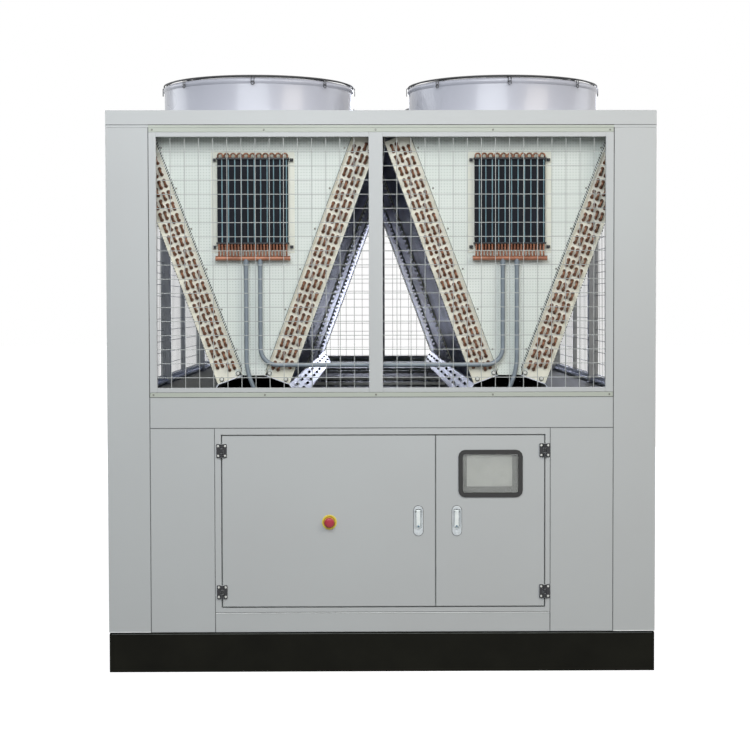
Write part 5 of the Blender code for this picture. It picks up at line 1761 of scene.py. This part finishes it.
@dataclass
class Grille:
    """One wire mesh in its painted frame."""

    name: str
    node: str
    horizontal: str
    bars: Pairs
    rail: float
    wire_radius: float = 1.6 * MM
    pitch: float = 0.0585
    first_level: float = 0.0607
    wire_depth: float = 0.010
    wire_lap: float = 0.004
    strip: float = 0.020
    strip_depth: float = 0.0015
    depth: float = 0.025
    screw_radius: float = 4.2 * MM

    def __post_init__(self) -> None:
        """Find the frame's face and the way it looks."""
        self.low, self.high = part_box(self.node)
        self.across = 1 if self.horizontal == "X" else 0
        self.outward = -1 if self.low[self.across] + self.high[self.across] < 0 else 1
        self.face = (self.low if self.outward < 0 else self.high)[self.across]

    def spot(self, along: float, depth: float, level: float) -> tuple[float, float, float]:
        """Return a world point from a place on the frame and a depth behind its face."""
        inside = self.face - self.outward * depth
        return (along, inside, level) if self.across else (inside, along, level)

    def member(self, solids: Solids, along: Pair, levels: Pair, depth: Pair) -> None:
        """Add one straight member of the frame.

        Args:
            solids: Takes the member.
            along: Its limits along the frame.
            levels: Its limits in height.
            depth: Its limits behind the frame's face.
        """
        a = self.spot(along[0], depth[0], levels[0])
        b = self.spot(along[1], depth[1], levels[1])
        solids.box([min(p, q) for p, q in zip(a, b)], [max(p, q) for p, q in zip(a, b)])

    def build(self) -> None:
        """Make the frame, its screwed strips and the welded mesh."""
        bottom, top = self.low.z, self.high.z
        span = (self.bars[0][0], self.bars[-1][1])
        lower = (bottom + self.strip, bottom + self.rail)
        upper = (top - self.rail, top - self.strip)
        solids = Solids()
        for bar in self.bars:
            self.member(solids, bar, (lower[0], upper[1]), (0.0, self.depth))
        for one, two in zip(self.bars, self.bars[1:]):
            for levels in (lower, upper):
                self.member(solids, (one[1], two[0]), levels, (0.0, self.depth))
        piece(f"{self.name}_frame", solids, PANEL, Slot.PANEL, replaces=(self.node,), bevel_mm=1.2)
        strips = Solids()
        for levels in ((bottom, lower[0] - 0.6 * MM), (upper[1] + 0.6 * MM, top)):
            self.member(strips, span, levels, (self.strip_depth, self.depth))
        piece(f"{self.name}_strips", strips, TRIM, Slot.PANEL, bevel_mm=1.0)
        self.mesh(lower[1], upper[0])
        self.screws()

    def mesh(self, bottom: float, top: float) -> None:
        """Weld the mesh of each opening.

        Args:
            bottom: The lower edge of the openings.
            top: Their upper edge.
        """
        wires = Solids()
        lap = self.wire_lap
        for one, two in zip(self.bars, self.bars[1:]):
            count = int((two[0] - one[1]) / self.pitch)
            for index in range(1, count + 1):
                along = one[1] + self.pitch * index
                if along > two[0] - lap:
                    continue
                ends = [self.spot(along, self.wire_depth, level) for level in (bottom - lap, top + lap)]
                wires.tube(ends, self.wire_radius, 6)
            level = top - self.first_level
            while level > bottom + lap:
                depth = self.wire_depth + 1.8 * self.wire_radius
                ends = [self.spot(along, depth, level) for along in (one[1] - lap, two[0] + lap)]
                wires.tube(ends, self.wire_radius, 6)
                level -= self.pitch
        piece(f"{self.name}_mesh", wires, MESH_WIRE, Slot.PANEL)

    def screws(self) -> None:
        """Set screws along both strips, at each bar and halfway between."""
        screws = Solids()
        middles = [(low + high) / 2 for low, high in self.bars]
        places = middles + [(one + two) / 2 for one, two in zip(middles, middles[1:])]
        out = (0, self.outward, 0) if self.across else (self.outward, 0, 0)
        for along in places:
            for level in (self.low.z + self.strip / 2, self.high.z - self.strip / 2):
                screws.screw(self.spot(along, self.strip_depth, level), out, self.screw_radius)
        piece(f"{self.name}_screws", screws, SCREW, Slot.ZINC)


@dataclass
class GrilleSet:
    """The four mesh frames round the coils."""

    layout: Layout
    stile_left: float = 0.031
    stile_right: float = 0.033
    mullion: Pair = (-0.053, 0.005)
    rail: float = 0.039
    thick_post: float = 0.050
    thin_post: float = 0.020
    channel_depth: float = 0.050
    lip_depth: float = 0.037
    lip_levels: Pair = (0.012, 0.022)

    def end_bars(self, end: End) -> Pairs:
        """Return the upright members of an end frame, left to right."""
        inner = self.layout.column_inner - 0.3 * MM
        bars = [(-inner, -inner + self.stile_left), self.mullion, (inner - self.stile_right, inner)]
        if end is End.REAR:
            bars = [(-high, -low) for low, high in bars][::-1]
        return bars

    def side_bars(self) -> Pairs:
        """Return the posts of a long side, front to rear."""
        low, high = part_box("side_grille_left")
        bars = [(low.y, low.y + self.thin_post), (high.y - self.thin_post, high.y)]
        half_bay = self.layout.bay() / 2
        for index in range(1, 2 * self.layout.bay_count):
            centre = (index - self.layout.bay_count) * half_bay
            width = self.thick_post if index % 2 == 0 else self.thin_post
            bars.append((centre - width / 2, centre + width / 2))
        return sorted(bars)

    def build(self) -> None:
        """Build the two end frames and the two side frames."""
        for end in End:
            name = f"{end.name.lower()}_grille"
            Grille(name, name, "X", self.end_bars(end), self.rail).build()
        for side in ("left", "right"):
            name = f"side_grille_{side}"
            grille = Grille(name, name, "Y", self.side_bars(), self.rail)
            grille.build()
            self.channels(grille)

    def channels(self, grille: Grille) -> None:
        """Add the channels behind the thick posts and the lip of the lower rail.

        Args:
            grille: The side frame that carries them.
        """
        bottom, top = grille.low.z, grille.high.z
        posts, lip = Solids(), Solids()
        for bar in grille.bars:
            if bar[1] - bar[0] > (self.thin_post + self.thick_post) / 2:
                grille.member(posts, bar, (bottom, top), (grille.depth, self.channel_depth))
        span = (grille.bars[0][0], grille.bars[-1][1])
        levels = (bottom + self.lip_levels[0], bottom + self.lip_levels[1])
        grille.member(lip, span, levels, (grille.depth, self.lip_depth))
        piece(f"{grille.name}_channels", posts, PANEL, Slot.PANEL, bevel_mm=1.5)
        piece(f"{grille.name}_lip", lip, ZINC, Slot.ZINC, bevel_mm=0.8)


@dataclass
class FanRoof:
    """Twelve fans: spun cowl, wire guard, motor and cast impeller."""

    layout: Layout
    throat: float = 0.3978
    cowl_radius: float = 0.4118
    lip_proud: float = 0.006
    height: float = 0.1445
    lip_radius: float = 0.013
    wire: float = 2.2 * MM
    guard_level: float = 0.1535
    ring_pitch: float = 0.030
    ring_start: float = 0.125
    arm_count: int = 8
    hook_drop: float = 0.023
    hook_half: float = 0.006
    hook_out: float = 0.0035
    hook_wire: float = 1.6 * MM
    eye_radius: float = 0.0072
    rim_wire: float = 3.2 * MM
    hub_radius: float = 0.090
    motor_ribs: int = 16
    rib_half: float = 2 * MM
    blade_count: int = 5
    blade_steps: int = 8
    blade_level: float = 0.070
    blade_chord: Pair = (0.150, 0.225)
    blade_pitch_deg: Pair = (38.0, 22.0)
    blade_sweep: float = 0.22
    blade_bulge: float = 0.10
    blade_thick: float = 2.6 * MM
    segments: int = 72

    def build(self) -> None:
        """Build one fan and place it over every fan of the frame."""
        parts = (
            ("cowl", self.cowl(), COWL, Slot.COWL),
            ("guard", self.guard(), DIPPED_WIRE, Slot.COWL),
            ("motor", self.motor(), BLADE, Slot.COWL),
            ("impeller", self.impeller(), BLADE, Slot.COWL),
        )
        for number in range(1, FAN_COUNT + 1):
            low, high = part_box(f"fan_{number}")
            centre = Vector(((low.x + high.x) / 2, (low.y + high.y) / 2, self.layout.roof))
            for part, solids, finish, slot in parts:
                self.copy(f"fan_{number}_{part}", part, solids, finish, slot, centre, number)

    def copy(
        self, name: str, part: str, solids: Solids, finish: Finish, slot: Slot, centre: Vector, number: int
    ) -> None:
        """Place one part of one fan, sharing the mesh of the first fan.

        Args:
            name: The piece's name.
            part: Which part of the fan it is.
            solids: The mesh of the part, round the fan's axis.
            finish: Its surface.
            slot: Its material slot.
            centre: The foot of the fan's axis.
            number: The fan's number.
        """
        first = bpy.data.objects.get(f"fan_1_{part}")
        if first is None:
            made = piece(name, solids, finish, slot, place=centre)
        else:
            made = linked(name, first.data)
            made.location = centre
            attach(made, Body.UNIT.value)
        if part == "cowl":
            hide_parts(f"fan_{number}")

    def cowl(self) -> Solids:
        """Return the spun cowl with its foot flange and rolled lip."""
        shape = Solids()
        middle = self.cowl_radius + self.lip_proud - self.lip_radius
        lip_level = self.height - self.lip_radius
        profile = [(self.throat, 0.3 * MM), (self.cowl_radius + 0.012, 0.3 * MM)]
        profile += [(self.cowl_radius + 0.012, 3 * MM), (self.cowl_radius + 2 * MM, 4 * MM)]
        profile += [(self.cowl_radius, 8 * MM), (self.cowl_radius, lip_level - 0.012)]
        for step in range(9):
            turn = math.pi * (-0.12 + 1.12 * step / 8)
            reach = self.lip_radius * math.cos(turn)
            profile.append((middle + reach, lip_level + self.lip_radius * math.sin(turn)))
        profile += [(self.throat + 2 * MM, lip_level - 0.014), (self.throat, 0.03)]
        shape.turned(profile, self.segments, closed=True)
        for index in range(self.arm_count):
            turn = 2 * math.pi * (index + 0.5) / self.arm_count
            out = Vector((math.cos(turn), math.sin(turn), 0.0))
            shape.screw(out * (self.cowl_radius + 7 * MM) + Vector((0, 0, 3 * MM)), (0, 0, 1), 4 * MM)
        return shape

    def ring_path(self, radius: float, level: float, steps: int) -> list[tuple[float, float, float]]:
        """Return a level circle of points.

        Args:
            radius: The circle's radius.
            level: Its height.
            steps: Its number of points.

        Returns:
            The points in order.
        """
        turns = [2 * math.pi * step / steps for step in range(steps)]
        return [(radius * math.cos(t), radius * math.sin(t), level) for t in turns]

    def guard(self) -> Solids:
        """Return the wire guard: rings, arms and the hooks over the lip."""
        shape = Solids()
        radius = self.ring_start
        edge = self.cowl_radius + self.lip_proud
        foot = Vector((0, 0, self.height - self.hook_drop))
        while radius < edge - 0.012:
            shape.tube(self.ring_path(radius, self.guard_level, 48), self.wire * 0.8, 6, closed=True)
            radius += self.ring_pitch
        for inset, drop in ((0.004, 0.004), (0.016, 0.0)):
            path = self.ring_path(edge - inset, self.guard_level - drop, 72)
            shape.tube(path, self.rim_wire, 8, closed=True)
        for index in range(self.arm_count):
            turn = 2 * math.pi * index / self.arm_count
            out = Vector((math.cos(turn), math.sin(turn), 0.0))
            for lean in (-self.hook_half, self.hook_half):
                side = Vector((-out.y, out.x, 0.0)) * lean
                path = [out * (self.hub_radius - 0.01) + side, out * (edge - 0.004) + side]
                path.append(out * (edge + self.hook_out) + side)
                levels = [self.guard_level - 2 * self.wire] * 2 + [self.guard_level - 0.008]
                arm = [point + Vector((0, 0, level)) for point, level in zip(path, levels)]
                arm.append(path[-1] + foot)
                shape.tube(arm, self.hook_wire, 6)
            middle = out * (edge + self.hook_out) + foot
            side = Vector((-out.y, out.x, 0.0)) * self.eye_radius
            rise = Vector((0, 0, self.eye_radius))
            turns = [math.pi * step / 7 for step in range(14)]
            loop = [middle + side * math.cos(turn) + rise * math.sin(turn) for turn in turns]
            shape.tube(loop, self.hook_wire, 6, closed=True)
        return shape

    def motor(self) -> Solids:
        """Return the external-rotor motor under the guard's middle."""
        shape = Solids()
        radius = self.hub_radius
        profile = ((0.0, 0.030), (radius - 0.012, 0.030), (radius, 0.042), (radius, 0.118))
        profile += ((radius - 0.006, 0.124), (radius - 0.006, 0.140), (radius - 0.014, 0.150))
        profile += ((0.035, 0.153), (0.0, 0.153))
        shape.turned(profile, 40)
        near, far = radius - 0.008, radius + LAP
        for index in range(self.motor_ribs):
            turn = 2 * math.pi * index / self.motor_ribs
            out = Vector((math.cos(turn), math.sin(turn), 0.0))
            side = Vector((-out.y, out.x, 0.0)) * self.rib_half
            corners = (out * near - side, out * far - side, out * far + side, out * near + side)
            shape.prism([(corner.x, corner.y) for corner in corners], 0.122, 0.146, "Z")
        return shape

    def impeller(self) -> Solids:
        """Return the swept and twisted blades on their hub ring."""
        shape = Solids()
        hub = ((self.hub_radius + 0.001, 0.040), (self.hub_radius + 0.006, 0.044))
        hub += ((self.hub_radius + 0.006, 0.108), (self.hub_radius + 0.001, 0.112))
        shape.turned(hub, 40)
        root, tip = self.hub_radius, self.throat - 0.012
        steps = self.blade_steps
        for blade in range(self.blade_count):
            start = 2 * math.pi * blade / self.blade_count
            rings = []
            for row in range(steps + 1):
                share = row / steps
                radius = root + (tip - root) * share
                chord = self.blade_chord[0] + (self.blade_chord[1] - self.blade_chord[0]) * share
                low, high = self.blade_pitch_deg
                pitch = math.radians(low + (high - low) * share)
                sweep = self.blade_sweep * share * share
                upper, lower = [], []
                for column in range(steps + 1):
                    across = column / steps - 0.5
                    along = chord * across
                    bulge = self.blade_bulge * chord * (0.25 - across**2)
                    turn = start + sweep + along / radius * math.cos(pitch) * 0.9
                    level = self.blade_level + along * math.sin(pitch) * 0.55 + bulge
                    thick = self.blade_thick * (1 - 1.2 * abs(across))
                    x, y = radius * math.cos(turn), radius * math.sin(turn)
                    upper.append((x, y, level + thick))
                    lower.append((x, y, level - thick))
                rings.append(np.array(upper + lower[::-1]))
            shape.loft(rings)
        return shape


@dataclass
class Studio:
    """Pale floor, soft light and the photograph's viewpoint."""

    eye: tuple[float, float, float] = (-0.041, -10.13, 1.524)
    pitch_deg: float = -2.2
    yaw_deg: float = 0.6
    roll_deg: float = -0.1
    shift_x: float = -0.0206
    focal_px: float = 1765.0
    frame_px: float = 750.0
    sensor_mm: float = 36.0
    world_level: float = 0.315
    floor_size: float = 120.0
    floor_grey: str = "#6C6D6D"
    floor_seen: str = "#BCBCBC"
    floor_glow: float = 0.8
    white: str = "#FFFFFF"
    cool: str = "#F6FAFF"
    warm: str = "#FFF6EA"
    bluish: str = "#E1E7FF"

    def build(self) -> None:
        """Make the floor, the world, the lamps and the camera."""
        bpy.context.scene.view_settings.view_transform = "Standard"
        self.floor()
        self.world()
        self.lamp("key_panel_lamp", (-0.7, -6.4, 3.9), (0.0, -2.8, 2.1), 2.8, 146.0, self.cool)
        self.lamp("fill_panel_lamp", (4.2, -7.0, 4.8), (0.9, -2.8, 1.8), 3.0, 167.0, self.warm)
        self.lamp("low_panel_lamp", (0.3, -9.5, 1.5), (0.0, -2.8, 1.2), 3.0, 11.0, self.cool)
        self.lamp("rear_panel_lamp", (1.6, 9.0, 2.6), (0.0, 0.0, 1.5), 4.5, 430.0, self.bluish)
        for name, side, watts in (("left", -1, 190.0), ("right", 1, 120.0)):
            place, aim = (side * 8.5, 0.6, 3.4), (side * 1.14, 0.6, 1.2)
            self.lamp(f"{name}_side_lamp", place, aim, 4.5, watts, self.cool)
        self.camera()

    def seen_directly(self, tree: Tree) -> Socket:
        """Return one for camera, gloss and glass rays, and zero for light on the object.

        Args:
            tree: The node tree that asks.

        Returns:
            The factor.
        """
        rays = add_node(tree, "ShaderNodeLightPath")
        links = {0: rays.outputs["Is Camera Ray"], 1: rays.outputs["Is Transmission Ray"]}
        seen = add_node(tree, "ShaderNodeMath", {"operation": "MAXIMUM"}, links=links)
        links = {0: seen.outputs["Value"], 1: rays.outputs["Is Glossy Ray"]}
        return add_node(tree, "ShaderNodeMath", {"operation": "MAXIMUM"}, links=links).outputs["Value"]

    def floor(self) -> None:
        """Make a pale floor that shows white and keeps the shadow."""
        half = self.floor_size / 2
        mesh = bpy.data.meshes.new("studio_floor")
        corners = [(-half, -half, 0), (half, -half, 0), (half, half, 0), (-half, half, 0)]
        mesh.from_pydata(corners, [], [(0, 1, 2, 3)])
        floor = linked("studio_floor", mesh)
        surface = bpy.data.materials.new("studio_floor_pale_matt")
        surface.use_nodes = True
        tree = surface.node_tree
        shader = tree.nodes["Principled BSDF"]
        shader.inputs["Roughness"].default_value = 0.9
        mixed = blend(tree, self.seen_directly(tree), self.floor_grey, self.floor_seen)
        tree.links.new(mixed, shader.inputs["Base Color"])
        values = {1: self.floor_glow}
        links = {0: self.seen_directly(tree)}
        glow = add_node(tree, "ShaderNodeMath", {"operation": "MULTIPLY"}, values, links)
        shader.inputs["Emission Color"].default_value = linear(self.white)
        tree.links.new(glow.outputs["Value"], shader.inputs["Emission Strength"])
        mesh.materials.append(surface)

    def world(self) -> None:
        """Light the object softly from all sides, with a white backdrop."""
        world = bpy.data.worlds.new("studio_world")
        bpy.context.scene.world = world
        world.use_nodes = True
        tree = world.node_tree
        back = tree.nodes["Background"]
        values = {"To Min": self.world_level, "To Max": 1.0}
        level = add_node(tree, "ShaderNodeMapRange", values=values, links={"Value": self.seen_directly(tree)})
        tree.links.new(level.outputs["Result"], back.inputs["Strength"])
        back.inputs["Color"].default_value = linear(self.white)

    def lamp(
        self, name: str, place: Point, target: Point, size: float, power: float, colour: str
    ) -> None:
        """Add a large soft lamp.

        Args:
            name: The lamp's name.
            place: Where it stands.
            target: What it points at.
            size: Its side in metres.
            power: Its power in watts.
            colour: The colour of its light.
        """
        data = bpy.data.lights.new(name, "AREA")
        data.size = size
        data.energy = power
        data.color = linear(colour)[:3]
        lamp = linked(name, data)
        lamp.location = place
        lamp.visible_camera = False
        lamp.rotation_mode = "QUATERNION"
        lamp.rotation_quaternion = (Vector(target) - Vector(place)).to_track_quat("-Z", "Y")

    def camera(self) -> None:
        """Set the camera where the photograph was taken from."""
        data = bpy.data.cameras.new("photo_camera")
        data.sensor_width = self.sensor_mm
        data.lens = self.focal_px / self.frame_px * self.sensor_mm
        data.shift_x = self.shift_x
        data.clip_end = 500.0
        camera = linked("photo_camera", data)
        camera.location = self.eye
        aim = Matrix.Rotation(math.radians(-self.yaw_deg), 3, "Z")
        aim = aim @ Matrix.Rotation(math.radians(90 + self.pitch_deg), 3, "X")
        aim = aim @ Matrix.Rotation(math.radians(self.roll_deg), 3, "Z")
        camera.rotation_euler = aim.to_euler()
        bpy.context.scene.camera = camera


def main() -> None:
    """Build the dressed chiller."""
    logging.basicConfig(level=logging.INFO, format="%(name)s %(message)s")
    layout = Layout()
    Enclosure(layout).build()
    ControlCabinet(layout).build()
    for name, side in (("left", -1), ("right", 1)):
        VBank(name, side, layout).build()
    SmallCoil("small_coil_left", layout.v_centre(-1), 1, layout, -0.041).build()
    SmallCoil("small_coil_right", layout.v_centre(1), -1, layout, -0.011).build()
    GrilleSet(layout).build()
    FanRoof(layout).build()
    Studio().build()


if __name__ == "__main__":
    main()
